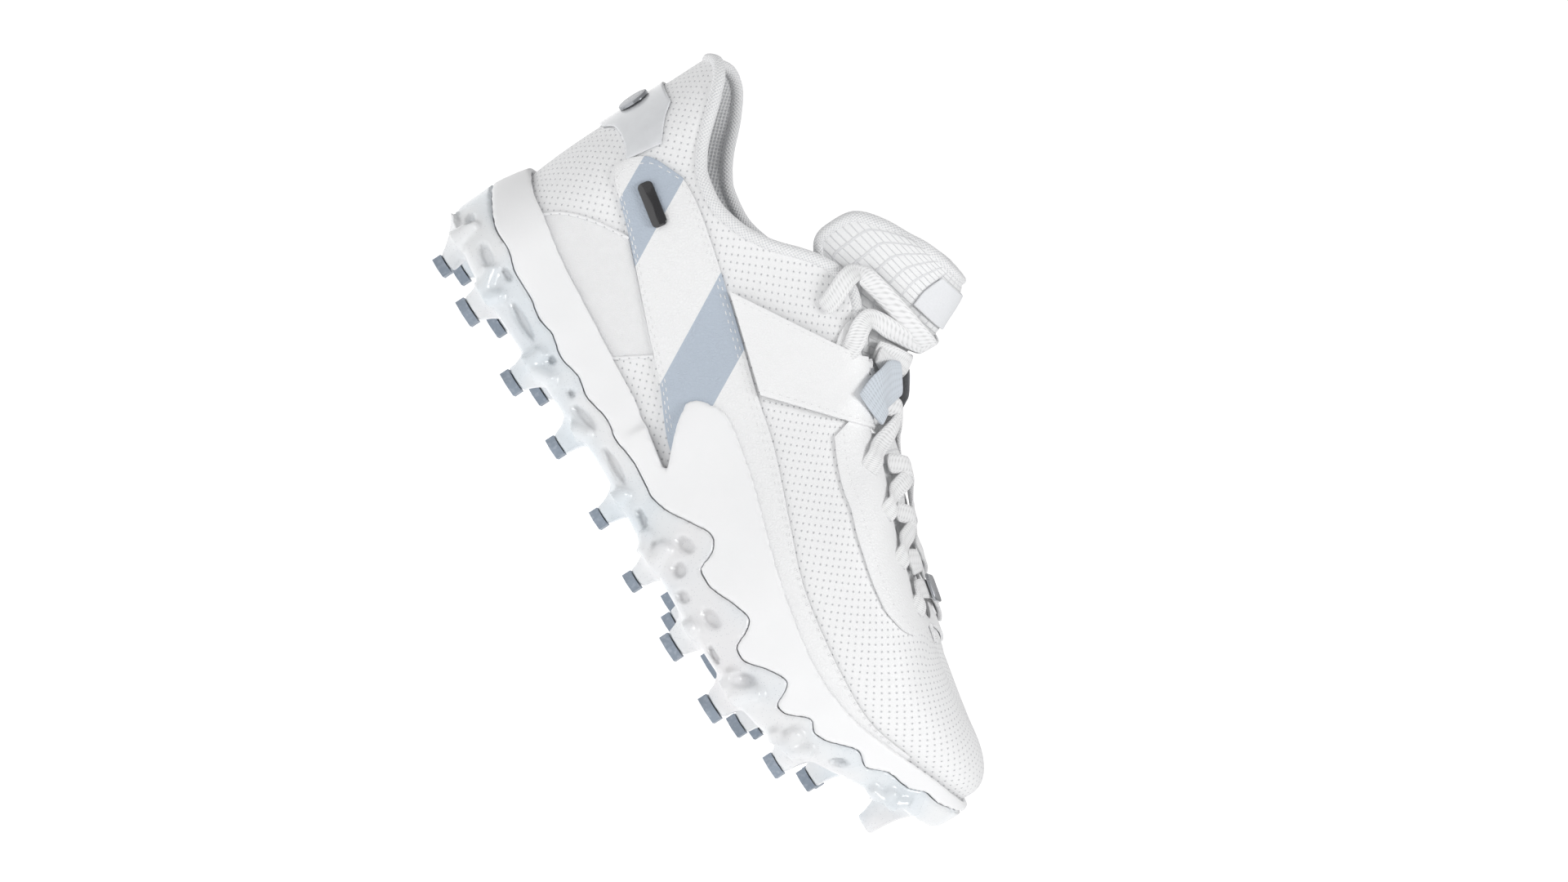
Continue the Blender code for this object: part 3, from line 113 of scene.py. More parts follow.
topRows = [
    (0.000, 0.972, 0.00, 0.70, 0.0, 1.25), (0.021, 1.000, 0.00, 0.72, 0.0, 1.25),
    (0.044, 0.985, 0.00, 0.75, 0.0, 1.25), (0.068, 0.946, 0.00, 0.78, 0.0, 1.25),
    (0.091, 0.901, 0.00, 0.82, 0.0, 1.25), (0.114, 0.850, 0.00, 0.86, 0.0, 1.25),
    (0.138, 0.809, 0.00, 0.90, 0.0, 1.25), (0.161, 0.784, 0.00, 0.94, 0.0, 1.25),
    (0.208, 0.771, 0.00, 0.99, 0.0, 1.25), (0.254, 0.793, 0.00, 1.00, 0.0, 1.25),
    (0.301, 0.847, 0.00, 0.97, 0.0, 1.30), (0.347, 0.931, 0.00, 0.91, 0.0, 1.40),
    (0.382, 0.973, 0.00, 0.86, 0.0, 1.50), (0.417, 0.985, 0.00, 0.80, 0.0, 1.55),
    (0.446, 0.963, 0.00, 0.76, 0.0, 1.60), (0.475, 0.941, 0.00, 0.72, 0.0, 1.60),
    (0.504, 0.906, 0.00, 0.68, 0.0, 1.60), (0.522, 0.891, 0.00, 0.65, 0.0, 1.60),
    (0.627, 0.000, 1.27, 0.0, 1.02, 1.70), (0.674, 0.000, 1.22, 0.0, 1.00, 1.80),
    (0.732, 0.000, 1.13, 0.0, 0.95, 1.90), (0.784, 0.000, 1.07, 0.0, 0.90, 2.00),
    (0.814, 0.000, 1.035, 0.0, 0.86, 2.05), (0.862, 0.000, 1.00, 0.0, 0.80, 2.10),
    (0.900, 0.000, 0.966, 0.0, 0.80, 2.15), (0.940, 0.000, 0.934, 0.0, 0.80, 2.15),
    (0.970, 0.000, 0.915, 0.0, 0.80, 2.15), (1.000, 0.000, 0.905, 0.0, 0.80, 2.15),
]
tongueRows = [
    (0.00, 0.540, 0.735, 0.490, 0.648, 0.57), (0.20, 0.522, 0.790, 0.400, 0.700, 0.66),
    (0.40, 0.524, 0.855, 0.322, 0.765, 0.78), (0.60, 0.512, 0.910, 0.322, 0.850, 0.80),
    (0.80, 0.496, 0.965, 0.362, 0.922, 0.75), (1.00, 0.480, 1.000, 0.415, 0.978, 0.60),
]
tongueBaseRows = [
    (0.570, 0.0068, 1.03, 0.0080), (0.620, 0.0058, 1.10, 0.0105), (0.680, 0.0042, 1.20, 0.0112),
    (0.740, 0.0026, 1.26, 0.0110), (0.800, 0.0006, 1.30, 0.0088), (0.845, -0.0019, 1.45, 0.0042),
]
eyelets = (0.404, 0.471, 0.542, 0.624, 0.688, 0.754, 0.822)  # shares of the top line, from the ankle


def smoothValue(points, at):  # a curve through the points that never swings past them
    if at <= points[0][0]:
        return points[0][1]
    if at >= points[-1][0]:
        return points[-1][1]
    steps = [(b[1] - a[1]) / (b[0] - a[0]) for a, b in zip(points, points[1:])]
    index = max(i for i, point in enumerate(points[:-1]) if point[0] <= at)

    def slope(i):
        if i in (0, len(points) - 1):
            return steps[0] if i == 0 else steps[-1]
        before, after = steps[i - 1], steps[i]
        return 0.0 if before * after <= 0 else 2 * before * after / (before + after)

    span = points[index + 1][0] - points[index][0]
    along = (at - points[index][0]) / span
    start, end = points[index][1], points[index + 1][1]
    return (
        start + (end - start) * (3 * along**2 - 2 * along**3)
        + span * slope(index) * along * (1 - along) ** 2
        - span * slope(index + 1) * along**2 * (1 - along)
    )


def reader(rows, names, samples=2000):  # one named column at a share, sampled once
    columns = {}
    for place, name in enumerate(names, 1):
        points = [(row[0], row[place]) for row in rows]
        columns[name] = [smoothValue(points, i / samples) for i in range(samples + 2)]

    def read(name, share):
        place = min(max(share, 0.0), 1.0) * samples
        i = int(place)
        values = columns[name]
        return values[i] + (values[i + 1] - values[i]) * (place - i)

    return read


plan = reader(planRows, ("middle", "half"))
plateLine = reader(plateRows, ("spring", "arch"))
wave = reader(waveRows, ("edge",))
body = reader(bodyRows, ("stack", "spring", "bulge", "rimOuter", "rimInner"))
topLine = reader(topRows, ("collar", "instep", "halfCollar", "halfThroat", "fullness"))
tongueLine = reader(tongueRows, ("middleAt", "middleHeight", "edgeAt", "edgeHeight", "half"))
tongueBase = reader(tongueBaseRows, ("crown", "spread", "drop"))


def shareAt(turn):
    return (1 - math.cos(math.pi * turn)) / 2


def turnAt(share):
    return math.acos(min(max(1 - 2 * share, -1.0), 1.0)) / math.pi


def shareOf(point):
    return point.x / form["soleLength"] + 0.5


def endRound(share):
    heel, toe = form["heelRound"] / form["soleLength"], form["toeRound"] / form["soleLength"]
    result = 1.0
    if share < heel:
        result *= math.sqrt(max(0.0, 1 - (1 - share / heel) ** 2))
    if 1 - share < toe:
        full = form["toeFullness"]
        result *= max(0.0, 1 - (1 - (1 - share) / toe) ** full) ** (1 / full)
    return result


def outlinePoint(side, turn, inset=0.0):  # the sole's widest line
    def edge(at):
        share = shareAt(at)
        half = plan("half", share) * endRound(share) * (1 if 0 <= at <= 1 else -1)
        return Vector((
            (share - 0.5) * form["soleLength"], form["ballWidth"] * (plan("middle", share) + side * half), 0,
        ))

    along = edge(turn + 0.002) - edge(turn - 0.002)
    inward = Vector((0, 0, -side)).cross(along).normalized()
    return edge(turn) + inward * inset


def plateHeight(share):
    return (
        form["studHeight"] + form["toeSpring"] * plateLine("spring", share)
        + form["archRise"] * plateLine("arch", share)
    )


def raised(point, height):
    return Vector((point.x, point.y, height))


def over(point, heightLine, extra=0.0):
    return raised(point, heightLine(shareOf(point)) + extra)


def waveHeight(share):
    return plateHeight(share) + form["waveHeight"] * wave("edge", share)


def bedHeight(share):
    return (
        form["studHeight"] + form["heelStack"] * body("stack", share)
        + form["toeSpring"] * body("spring", share)
    )


def bulgeHeight(share):
    return bedHeight(share) + form["bulgeHeight"] * body("bulge", share)


def rimHeight(side, share):
    name = "rimOuter" if side == outer else "rimInner"
    return plateHeight(share) + form["sidewallHeight"] * body(name, share)


def topPoint(side, turn):  # collar, throat edge or the ridge of the vamp
    share = shareAt(turn)
    halfCollar = form["collarWidth"] / 2 * topLine("halfCollar", share)
    if share < 0.095:
        halfCollar *= math.sqrt(max(0.0, 1 - (1 - share / 0.095) ** 2))
    halfThroat = form["throatWidth"] / 2 * topLine("halfThroat", share)
    left = form["throatEnd"] - share
    if left <= 0:
        halfThroat = 0.0
    elif left < form["throatRound"]:
        halfThroat *= math.sqrt(1 - (1 - left / form["throatRound"]) ** 2)
    height = (
        form["studHeight"] + form["collarHeight"] * topLine("collar", share)
        + form["instepHeight"] * topLine("instep", share)
    )
    middle = form["ballWidth"] * plan("middle", share * form["collarLength"] / form["soleLength"])
    along = form["topLineStart"] + form["collarLength"] * share
    return Vector((along, middle + side * (halfCollar + halfThroat), height))


def edgePoint(side, turn):  # top edge of the wall, tucked into the binding
    point = topPoint(side, turn)
    rolled = max(0.0, min(1.0, (form["collarEnd"] + 0.10 - shareAt(turn)) / 0.10))
    if rolled:
        along = topPoint(side, turn + 0.008) - topPoint(side, max(turn - 0.008, 0.0))
        steepness = along.length / math.hypot(along.x, along.y)
        half = form["collarRoll"] / 2
        point.z -= half * (1 + 0.25 * steepness) * rolled
    return point


def upperPoint(side, turn, level):
    # level is -1 at the turned-in margin, 0 at the bed's edge, 1 at the widest line, 2 at the top
    share = shareAt(turn)
    widest = bulgeHeight(share)
    if level < 0:
        inset = form["bulgeInset"] + form["corner"] - level * form["margin"]
        return over(outlinePoint(side, turn, inset), bedHeight)
    if level <= 1:
        angle = level * math.pi / 2
        point = outlinePoint(side, turn, form["bulgeInset"] + form["corner"] * (1 - math.sin(angle)))
        bed = bedHeight(shareOf(point))
        point.z = bed + (widest - bed) * (1 - math.cos(angle))
        return point
    angle = (level - 1) * math.pi / 2
    fullness = topLine("fullness", share)
    across = math.cos(angle) ** (2 / fullness) if level < 2 else 0.0
    upward = math.sin(angle) ** (2 / fullness)
    base, top = outlinePoint(side, turn, form["bulgeInset"]), edgePoint(side, turn)
    point = top.lerp(base, across)
    point.z = widest + (top.z - widest) * upward
    return point


def upperNormal(side, turn, level):
    small = 0.004
    turn = min(max(turn, small), 1 - small)
    level = min(max(level, small), 2 - small)
    along = upperPoint(side, turn + small, level) - upperPoint(side, turn - small, level)
    upward = upperPoint(side, turn, level + small) - upperPoint(side, turn, level - small)
    return (along.cross(upward) * -side).normalized()


def liftedPoint(side, turn, level, lift):
    point, normal = upperPoint(side, turn, level), upperNormal(side, turn, level)
    if turn < 0.01 or turn > 0.99 or (level > 1.98 and shareAt(turn) > form["throatEnd"]):
        if (upperPoint(-side, turn, level) - point).length < 0.0001:
            normal = (normal + upperNormal(-side, turn, level)).normalized()
    return point + normal * lift


def levelAt(side, turn, height, low=0.0):  # level of the upper at a height over the ground
    high = 2.0
    for _ in range(18):
        middle = (low + high) / 2
        if upperPoint(side, turn, middle).z < height:
            low = middle
        else:
            high = middle
    return (low + high) / 2


def upperAt(side, x, z):  # turn and level at a place seen from the side
    turn, level, small = turnAt(x / form["soleLength"] + 0.5), 1.4, 0.002
    for _ in range(9):
        point = upperPoint(side, turn, level)
        along = (upperPoint(side, turn + small, level) - point) / small
        upward = (upperPoint(side, turn, level + small) - point) / small
        missX, missZ = x - point.x, z - point.z
        scale = along.x * upward.z - along.z * upward.x
        turnStep = (missX * upward.z - missZ * upward.x) / scale
        levelStep = min(max((along.x * missZ - along.z * missX) / scale, -0.25), 0.25)
        if level + levelStep > 1.985:  # the place lies over the top line
            turnStep = missX / along.x
        turn += min(max(turnStep, -0.03), 0.03)
        level += levelStep
        turn, level = min(max(turn, 0.02), 0.97), min(max(level, 0.05), 1.985)
    return turn, level


def topMiddle(share):
    return (topPoint(outer, turnAt(share)) + topPoint(inner, turnAt(share))) / 2


def heelward(share):
    return (topMiddle(share - 0.02) - topMiddle(share + 0.02)).normalized()


def eyeletPoint(side, share, inset=None):  # place of an eyelet, its direction out, and its level
    turn, level, walked = turnAt(share), 2.0, 0.0
    point = upperPoint(side, turn, level)
    while walked < (inset or form["eyeletInset"]):
        level -= 0.01
        below = upperPoint(side, turn, level)
        walked += (below - point).length
        point = below
    return point, upperNormal(side, turn, level), level


def tonguePoint(across, upward):
    middle = raised(
        topMiddle(tongueLine("middleAt", upward)),
        form["studHeight"] + form["tongueHeight"] * tongueLine("middleHeight", upward),
    )
    edge = raised(
        topMiddle(tongueLine("edgeAt", upward)),
        form["studHeight"] + form["tongueHeight"] * tongueLine("edgeHeight", upward),
    )
    angle = abs(across) * math.pi / 2
    half = math.copysign(form["collarWidth"] / 2 * tongueLine("half", upward), across)
    point = middle.lerp(edge, 1 - math.cos(angle))
    point.y = middle.y + (edge.y + half - middle.y) * math.sin(angle)
    return point


def tongueBasePoint(across, share):
    base = {name: tongueBase(name, share) for name in ("crown", "spread", "drop")}
    tops = [topPoint(side, turnAt(share)) for side in (outer, inner)]
    middle = (tops[0] + tops[1]) / 2
    top = tops[0] if across < 0 else tops[1]
    edge = middle + (top - middle) * base["spread"]
    edge.z -= base["drop"]
    middle.z += base["crown"]
    angle = abs(across) * math.pi / 2
    point = middle.lerp(edge, 1 - math.cos(angle))
    point.y = middle.y + (edge.y - middle.y) * math.sin(angle)
    return point


def tongueFront(across, upward, lift):
    small = 0.01
    sideways = tonguePoint(across + small, upward) - tonguePoint(across - small, upward)
    upwards = tonguePoint(across, upward + small) - tonguePoint(across, max(upward - small, 0.0))
    return tonguePoint(across, upward) + sideways.cross(upwards).normalized() * lift


def tongueRise(upward):
    return (tonguePoint(0, min(upward + 0.05, 1.0)) - tonguePoint(0, max(upward - 0.05, 0.0))).normalized()


def tongueHeightAt(point):
    share = (point.x - form["topLineStart"]) / form["collarLength"]
    middle = topMiddle(share)
    half = (topPoint(inner, turnAt(share)) - middle).y * tongueBase("spread", share)
    crown, drop = tongueBase("crown", share), tongueBase("drop", share)
    sine = min(abs(point.y - middle.y) / max(half, 0.001), 1.0)
    return middle.z + crown - (crown + drop) * (1 - math.sqrt(1 - sine**2))


def shareX(share):
    return (share - 0.5) * form["soleLength"]


def partZ(part):
    return form["studHeight"] + form["collarHeight"] * part


# shader groups that several finishes share
def newGroup(name, inputs, outputs):
    tree = bpy.data.node_groups.new(name, "ShaderNodeTree")
    for socket, kind, value in inputs:
        made = tree.interface.new_socket(socket, in_out="INPUT", socket_type=kind)
        if value is not None:
            made.default_value = value
    for socket, kind in outputs:
        tree.interface.new_socket(socket, in_out="OUTPUT", socket_type=kind)
    return tree, tree.nodes.new("NodeGroupInput"), tree.nodes.new("NodeGroupOutput")


def addNode(tree, kind, inputs=(), **settings):
    node = tree.nodes.new(kind)
    for name, value in settings.items():
        setattr(node, name, value)
    for name, value in dict(inputs).items():
        if isinstance(value, bpy.types.NodeSocket):
            tree.links.new(value, node.inputs[name])
        else:
            node.inputs[name].default_value = value
    return node


def maths(tree, operation, first, second=0.0):
    return addNode(tree, "ShaderNodeMath", {0: first, 1: second}, operation=operation).outputs[0]


def mapRange(tree, value, low, high, toLow=0.0, toHigh=1.0):
    node = addNode(
        tree, "ShaderNodeMapRange",
        {"Value": value, "From Min": low, "From Max": high, "To Min": toLow, "To Max": toHigh},
        interpolation_type="SMOOTHSTEP",
    )
    return node.outputs["Result"]


def noise(tree, vector, scale, detail):
    inputs = {"Vector": vector, "Scale": scale, "Detail": detail}
    return addNode(tree, "ShaderNodeTexNoise", inputs).outputs["Fac"]


vectorSocket, floatSocket = "NodeSocketVector", "NodeSocketFloat"

# creased leather: cells with fine noise over them, and a factor that paints shade into the creases between the
# cells
grainGroup, into, out = newGroup(
    "leatherGrain",
    [("Vector", vectorSocket, None), ("Cells", floatSocket, 900.0), ("Fine", floatSocket, 0.4)],
    [("Height", floatSocket), ("CreaseShade", floatSocket)],
)
bend = addNode(
    grainGroup, "ShaderNodeTexNoise", {"Vector": into.outputs["Vector"], "Scale": 260.0, "Detail": 1.0}
)
bendReach = 0.0016
bent = addNode(
    grainGroup, "ShaderNodeVectorMath",
    {0: bend.outputs["Color"], 1: (bendReach, bendReach, bendReach), 2: into.outputs["Vector"]},
    operation="MULTIPLY_ADD",
)
cells = addNode(
    grainGroup, "ShaderNodeTexVoronoi", {"Vector": bent.outputs[0], "Scale": into.outputs["Cells"]},
    feature="DISTANCE_TO_EDGE",
)
fine = addNode(
    grainGroup, "ShaderNodeTexNoise",
    {"Vector": into.outputs["Vector"], "Scale": 2600.0, "Detail": 2.0, "Roughness": 0.6},
)
domes = mapRange(grainGroup, cells.outputs["Distance"], 0.0, 0.30)
grainGroup.links.new(
    maths(grainGroup, "ADD", domes, maths(grainGroup, "MULTIPLY", fine.outputs["Fac"], into.outputs["Fine"])),
    out.inputs["Height"],
)
# painted shade: the colour darkens a little towards the creases between the cells
creaseShade = mapRange(grainGroup, cells.outputs["Distance"], 0.0, 0.16, 0.93, 1.0)
grainGroup.links.new(creaseShade, out.inputs["CreaseShade"])

# punched holes or knit cells in a staggered grid; Holes is 1 inside a hole
diagonal = 1.4142  # the grid is turned by 45 degrees
holesGroup, into, out = newGroup(
    "punchedHoles",
    [("Vector", vectorSocket, None), ("Spacing", floatSocket, 0.003), ("Radius", floatSocket, 0.0004)],
    [("Holes", floatSocket), ("Dish", floatSocket)],
)
scaled = addNode(
    holesGroup, "ShaderNodeVectorMath",
    {0: into.outputs["Vector"], "Scale": maths(holesGroup, "DIVIDE", diagonal, into.outputs["Spacing"])},
    operation="SCALE",
)
spun = addNode(
    holesGroup, "ShaderNodeMapping", {"Vector": scaled.outputs[0], "Rotation": (0, 0, math.pi / 4)}
)
grid = addNode(
    holesGroup, "ShaderNodeTexVoronoi", {"Vector": spun.outputs[0], "Scale": 1.0, "Randomness": 0.0},
    voronoi_dimensions="2D",
)
edge = maths(
    holesGroup, "DIVIDE", maths(holesGroup, "MULTIPLY", into.outputs["Radius"], diagonal),
    into.outputs["Spacing"],
)
ratio = maths(holesGroup, "DIVIDE", grid.outputs["Distance"], edge)
holesGroup.links.new(mapRange(holesGroup, ratio, 0.75, 1.1, 1.0, 0.0), out.inputs["Holes"])
holesGroup.links.new(mapRange(holesGroup, ratio, 0.7, 1.8, 1.0, 0.0), out.inputs["Dish"])

# threads over and under each other
weaveGroup, into, out = newGroup(
    "plainWeave",
    [("Vector", vectorSocket, None), ("Pitch", floatSocket, 0.0007)],
    [("Height", floatSocket)],
)
parts = addNode(weaveGroup, "ShaderNodeSeparateXYZ", {0: into.outputs["Vector"]})
turns = [
    maths(
        weaveGroup, "SINE",
        maths(weaveGroup, "DIVIDE", maths(weaveGroup, "MULTIPLY", parts.outputs[axis], math.pi),
              into.outputs["Pitch"]),
    )
    for axis in (0, 1)
]
threads = maths(weaveGroup, "MULTIPLY", turns[0], turns[1])
weaveGroup.links.new(maths(weaveGroup, "ABSOLUTE", threads), out.inputs["Height"])

# small specks, and cloudy patches for tint
specksGroup, into, out = newGroup(
    "specks",
    [("Vector", vectorSocket, None), ("Scale", floatSocket, 900.0), ("Amount", floatSocket, 0.1)],
    [("Specks", floatSocket), ("Clouds", floatSocket)],
)
points = addNode(
    specksGroup, "ShaderNodeTexVoronoi", {"Vector": into.outputs["Vector"], "Scale": into.outputs["Scale"]}
)
specksGroup.links.new(
    maths(specksGroup, "LESS_THAN", points.outputs["Distance"], into.outputs["Amount"]), out.inputs["Specks"]
)
clouds = noise(specksGroup, into.outputs["Vector"], 38.0, 2.0)
specksGroup.links.new(mapRange(specksGroup, clouds, 0.35, 0.65), out.inputs["Clouds"])


def group(tree, which, inputs):
    return addNode(tree, "ShaderNodeGroup", inputs, node_tree=which).outputs


def newFinish(name, colour, roughness, **sockets):
    material = bpy.data.materials.new(name)
    material.use_nodes = True
    tree = material.node_tree
    shader = tree.nodes["Principled BSDF"]
    shader.inputs["Base Color"].default_value = (*colour, 1.0)
    shader.inputs["Roughness"].default_value = roughness
    for socket, value in sockets.items():
        shader.inputs[socket].default_value = value
    where = addNode(tree, "ShaderNodeTexCoord")
    return material, tree, shader, where.outputs


def mix(tree, factor, first, second):
    node = addNode(tree, "ShaderNodeMix", {"Factor": factor}, data_type="RGBA")
    for place, value in ((6, first), (7, second)):
        if isinstance(value, bpy.types.NodeSocket):
            tree.links.new(value, node.inputs[place])
        else:
            node.inputs[place].default_value = (*value, 1.0)
    return node.outputs[2]


def feed(tree, shader, colour, height, roughness=None):  # heights are in metres
    tree.links.new(colour, shader.inputs["Base Color"])
    if roughness is not None:
        tree.links.new(roughness, shader.inputs["Roughness"])
    bump = addNode(tree, "ShaderNodeBump", {"Height": height, "Distance": 1.0, "Strength": 1.0})
    tree.links.new(bump.outputs["Normal"], shader.inputs["Normal"])


# a darker copy of a colour, used as painted shade in the grain's creases and in the weave's hollows
def darker(colour, part=0.72):
    return tuple(channel * part for channel in colour)


def leather(name, colour, roughness, cells, depth, holes=None):
    material, tree, shader, where = newFinish(name, colour, roughness)
    grain = group(tree, grainGroup, {"Vector": where["Object"], "Cells": cells, "Fine": 0.5})
    # painted shade: a darker copy of the colour shows in the grain's creases
    base = mix(tree, grain["CreaseShade"], darker(colour), colour)
    height = maths(tree, "MULTIPLY", grain["Height"], depth)
    if holes:
        punched = group(
            tree, holesGroup,
            {"Vector": where["UV"], "Spacing": holes["spacing"], "Radius": holes["radius"]},
        )
        # painted shade: each punched hole is filled with a flat dark grey
        base = mix(tree, punched["Holes"], base, holes["colour"])
        height = maths(tree, "SUBTRACT", height, maths(tree, "MULTIPLY", punched["Dish"], holes["depth"]))
    worn = mapRange(tree, grain["Height"], 0.3, 1.2, roughness + 0.08, roughness - 0.06)
    feed(tree, shader, base, height, worn)
    return material


white, brightWhite = (0.86, 0.862, 0.868), (0.88, 0.882, 0.888)
panelGrain = {"roughness": 0.46, "cells": 950.0, "depth": 0.00007}
# the holes' colour is painted shade, the dark seen inside the punched holes
perforated = {"spacing": 0.0031, "radius": 0.00026, "depth": 0.00016, "colour": (0.50, 0.51, 0.53)}
upperLeather = leather("upperSynthetic", white, 0.50, 1500.0, 0.00003, perforated)
panelLeather = leather("panelLeather", white, **panelGrain)
strapGrain = leather("strapGrain", brightWhite, 0.40, 1250.0, 0.00005)
suede = leather("heelSuede", (0.83, 0.832, 0.84), 0.62, 1700.0, 0.00006)

# colour blocks on the long panel, broad slanted bands with the grain running through them
bands = {
    "colour": (0.46, 0.52, 0.60),
    "slant": 0.55,  # how far a band leans for each metre of height
    "places": ((-0.0865, 0.0085), (-0.0395, 0.0105)),  # middle of each band at the panel's middle, half width
    "height": 0.066,
    "soft": 0.0002,  # width of its blurred edge
}
material, tree, shader, where = newFinish("bandedLeather", white, panelGrain["roughness"])
grain = group(tree, grainGroup, {"Vector": where["Object"], "Cells": panelGrain["cells"], "Fine": 0.5})
axes = addNode(tree, "ShaderNodeSeparateXYZ", {0: where["Object"]})
leaned = maths(
    tree, "ADD", axes.outputs["X"],
    maths(tree, "MULTIPLY", maths(tree, "SUBTRACT", axes.outputs["Z"], bands["height"]), bands["slant"]),
)
inBand = None
for middle, half in bands["places"]:
    away = maths(tree, "ABSOLUTE", maths(tree, "SUBTRACT", leaned, middle))
    found = mapRange(tree, away, half - bands["soft"], half, 1.0, 0.0)
    inBand = found if inBand is None else maths(tree, "MAXIMUM", inBand, found)
coloured = mix(tree, inBand, white, bands["colour"])
# painted shade: darker copies of the panel and band colours, shown in the grain's creases
shadedInCreases = mix(tree, inBand, darker(white), darker(bands["colour"]))
feed(
    tree, shader, mix(tree, grain["CreaseShade"], shadedInCreases, coloured),
    maths(tree, "MULTIPLY", grain["Height"], panelGrain["depth"]),
)
bandedLeather = material

# foam of the midsole: fine moulded skin
material, tree, shader, where = newFinish("moulded foam", brightWhite, 0.48)
skin, soft = noise(tree, where["Object"], 2200.0, 3.0), noise(tree, where["Object"], 45.0, 2.0)
feed(
    tree, shader, mix(tree, soft, (0.84, 0.845, 0.855), (0.90, 0.90, 0.905)),
    maths(tree, "MULTIPLY", skin, 0.00004), mapRange(tree, skin, 0.3, 0.7, 0.54, 0.42),
)
foam = material

# ice rubber of the outsole: milky, with faint blue and pink, and tiny specks
material, tree, shader, where = newFinish(
    "iceRubber", (0.80, 0.82, 0.84), 0.28,
    **{"Coat Weight": 0.35, "Coat Roughness": 0.12, "Subsurface Weight": 0.08, "Subsurface Scale": 0.0015,
       "Subsurface Radius": (1.0, 1.0, 1.0)},
)
flecks = group(tree, specksGroup, {"Vector": where["Object"], "Scale": 1250.0, "Amount": 0.16})
rose = noise(tree, where["Object"], 27.0, 1.0)
milk = mix(tree, flecks["Clouds"], (0.70, 0.745, 0.78), (0.79, 0.80, 0.81))
milk = mix(tree, mapRange(tree, rose, 0.52, 0.72, 0.0, 0.4), milk, (0.80, 0.76, 0.76))
feed(
    tree, shader, mix(tree, maths(tree, "MULTIPLY", flecks["Specks"], 0.5), milk, (0.42, 0.44, 0.48)),
    maths(tree, "MULTIPLY", noise(tree, where["Object"], 700.0, 2.0), 0.00005),
    mapRange(tree, flecks["Clouds"], 0.0, 1.0, 0.24, 0.36),
)
iceRubber = material

# slate rubber of the stud tips, a little scuffed
material, tree, shader, where = newFinish("slateRubber", (0.27, 0.31, 0.37), 0.45)
scuff = noise(tree, where["Object"], 900.0, 4.0)
feed(
    tree, shader, mix(tree, mapRange(tree, scuff, 0.45, 0.75), (0.25, 0.295, 0.355), (0.35, 0.39, 0.45)),
    maths(tree, "MULTIPLY", scuff, 0.00006), mapRange(tree, scuff, 0.3, 0.7, 0.38, 0.56),
)
slateRubber = material


# knit with open cells, for the collar and the lining
def knit(name, colour, spacing, radius, shadow):
    material, tree, shader, where = newFinish(name, colour, 0.85, **{"Sheen Weight": 0.25})
    cell = group(tree, holesGroup, {"Vector": where["UV"], "Spacing": spacing, "Radius": radius})
    sunk = maths(tree, "MULTIPLY", cell["Dish"], -0.00014)
    feed(tree, shader, mix(tree, cell["Holes"], colour, shadow), sunk)
    return material


collarKnit = knit("collarKnit", brightWhite, 0.00125, 0.00026, (0.70, 0.71, 0.73))
liningMesh = knit("liningMesh", (0.86, 0.863, 0.87), 0.0017, 0.00040, (0.60, 0.61, 0.63))

# ripstop of the tongue: checks of thicker thread in a fine weave
ripstopSizes = {"check": 0.0027, "thread": 0.09, "weave": 0.00045}
material, tree, shader, where = newFinish("ripstop", white, 0.62, **{"Sheen Weight": 0.15})
weft = group(tree, weaveGroup, {"Vector": where["UV"], "Pitch": ripstopSizes["weave"]})
axes = addNode(tree, "ShaderNodeSeparateXYZ", {0: where["UV"]})
checks = None
for axis in ("X", "Y"):
    part = maths(tree, "FRACT", maths(tree, "DIVIDE", axes.outputs[axis], ripstopSizes["check"]))
    away = maths(tree, "ABSOLUTE", maths(tree, "SUBTRACT", part, 0.5))
    line = mapRange(tree, away, ripstopSizes["thread"] * 0.4, ripstopSizes["thread"], 1.0, 0.0)
    checks = line if checks is None else maths(tree, "MAXIMUM", checks, line)
raisedChecks = maths(tree, "MULTIPLY", checks, 0.00014)
raisedWeft = maths(tree, "MULTIPLY", weft["Height"], 0.00003)
feed(
    tree, shader, mix(tree, checks, (0.86, 0.865, 0.87), (0.74, 0.745, 0.76)),
    maths(tree, "ADD", raisedChecks, raisedWeft),
)
ripstop = material


# flat woven lace or webbing, its threads slanting in from both edges
def woven(name, colour, pitch, depth, ribs=False):
    material, tree, shader, where = newFinish(name, colour, 0.75, **{"Sheen Weight": 0.3})
    axes = addNode(tree, "ShaderNodeSeparateXYZ", {0: where["UV"]})
    slant = maths(tree, "ABSOLUTE", axes.outputs["Y"])
    along = axes.outputs["X"] if ribs else maths(tree, "ADD", axes.outputs["X"], slant)
    wale, thread = (
        maths(tree, "SINE", maths(tree, "DIVIDE", maths(tree, "MULTIPLY", way, turns * math.pi), pitch))
        for way, turns in ((along, 2), (axes.outputs["Y"], 1))
    )
    thread = maths(tree, "ABSOLUTE", thread)
    height = maths(tree, "ADD", maths(tree, "MULTIPLY", wale, 0.5), maths(tree, "MULTIPLY", thread, 0.6))
    # painted shade: the colour darkens where the threads sink between each other
    shadedInHollows = mix(tree, mapRange(tree, height, -0.4, 0.5), darker(colour, 0.78), colour)
    feed(tree, shader, shadedInHollows, maths(tree, "MULTIPLY", height, depth))
    return material


laceWeave = woven("laceWeave", brightWhite, 0.0013, 0.00009)
paleWebbing = woven("paleWebbing", (0.62, 0.67, 0.73), 0.0011, 0.00007, ribs=True)
# painted shade: the inner webbing end is near black because it stands in shade, not because the webbing is dark
shadowedWebbing = woven("shadowedWebbing", (0.13, 0.135, 0.145), 0.0011, 0.00007, ribs=True)
threadWhite = woven("stitchThread", brightWhite, 0.0006, 0.00005)


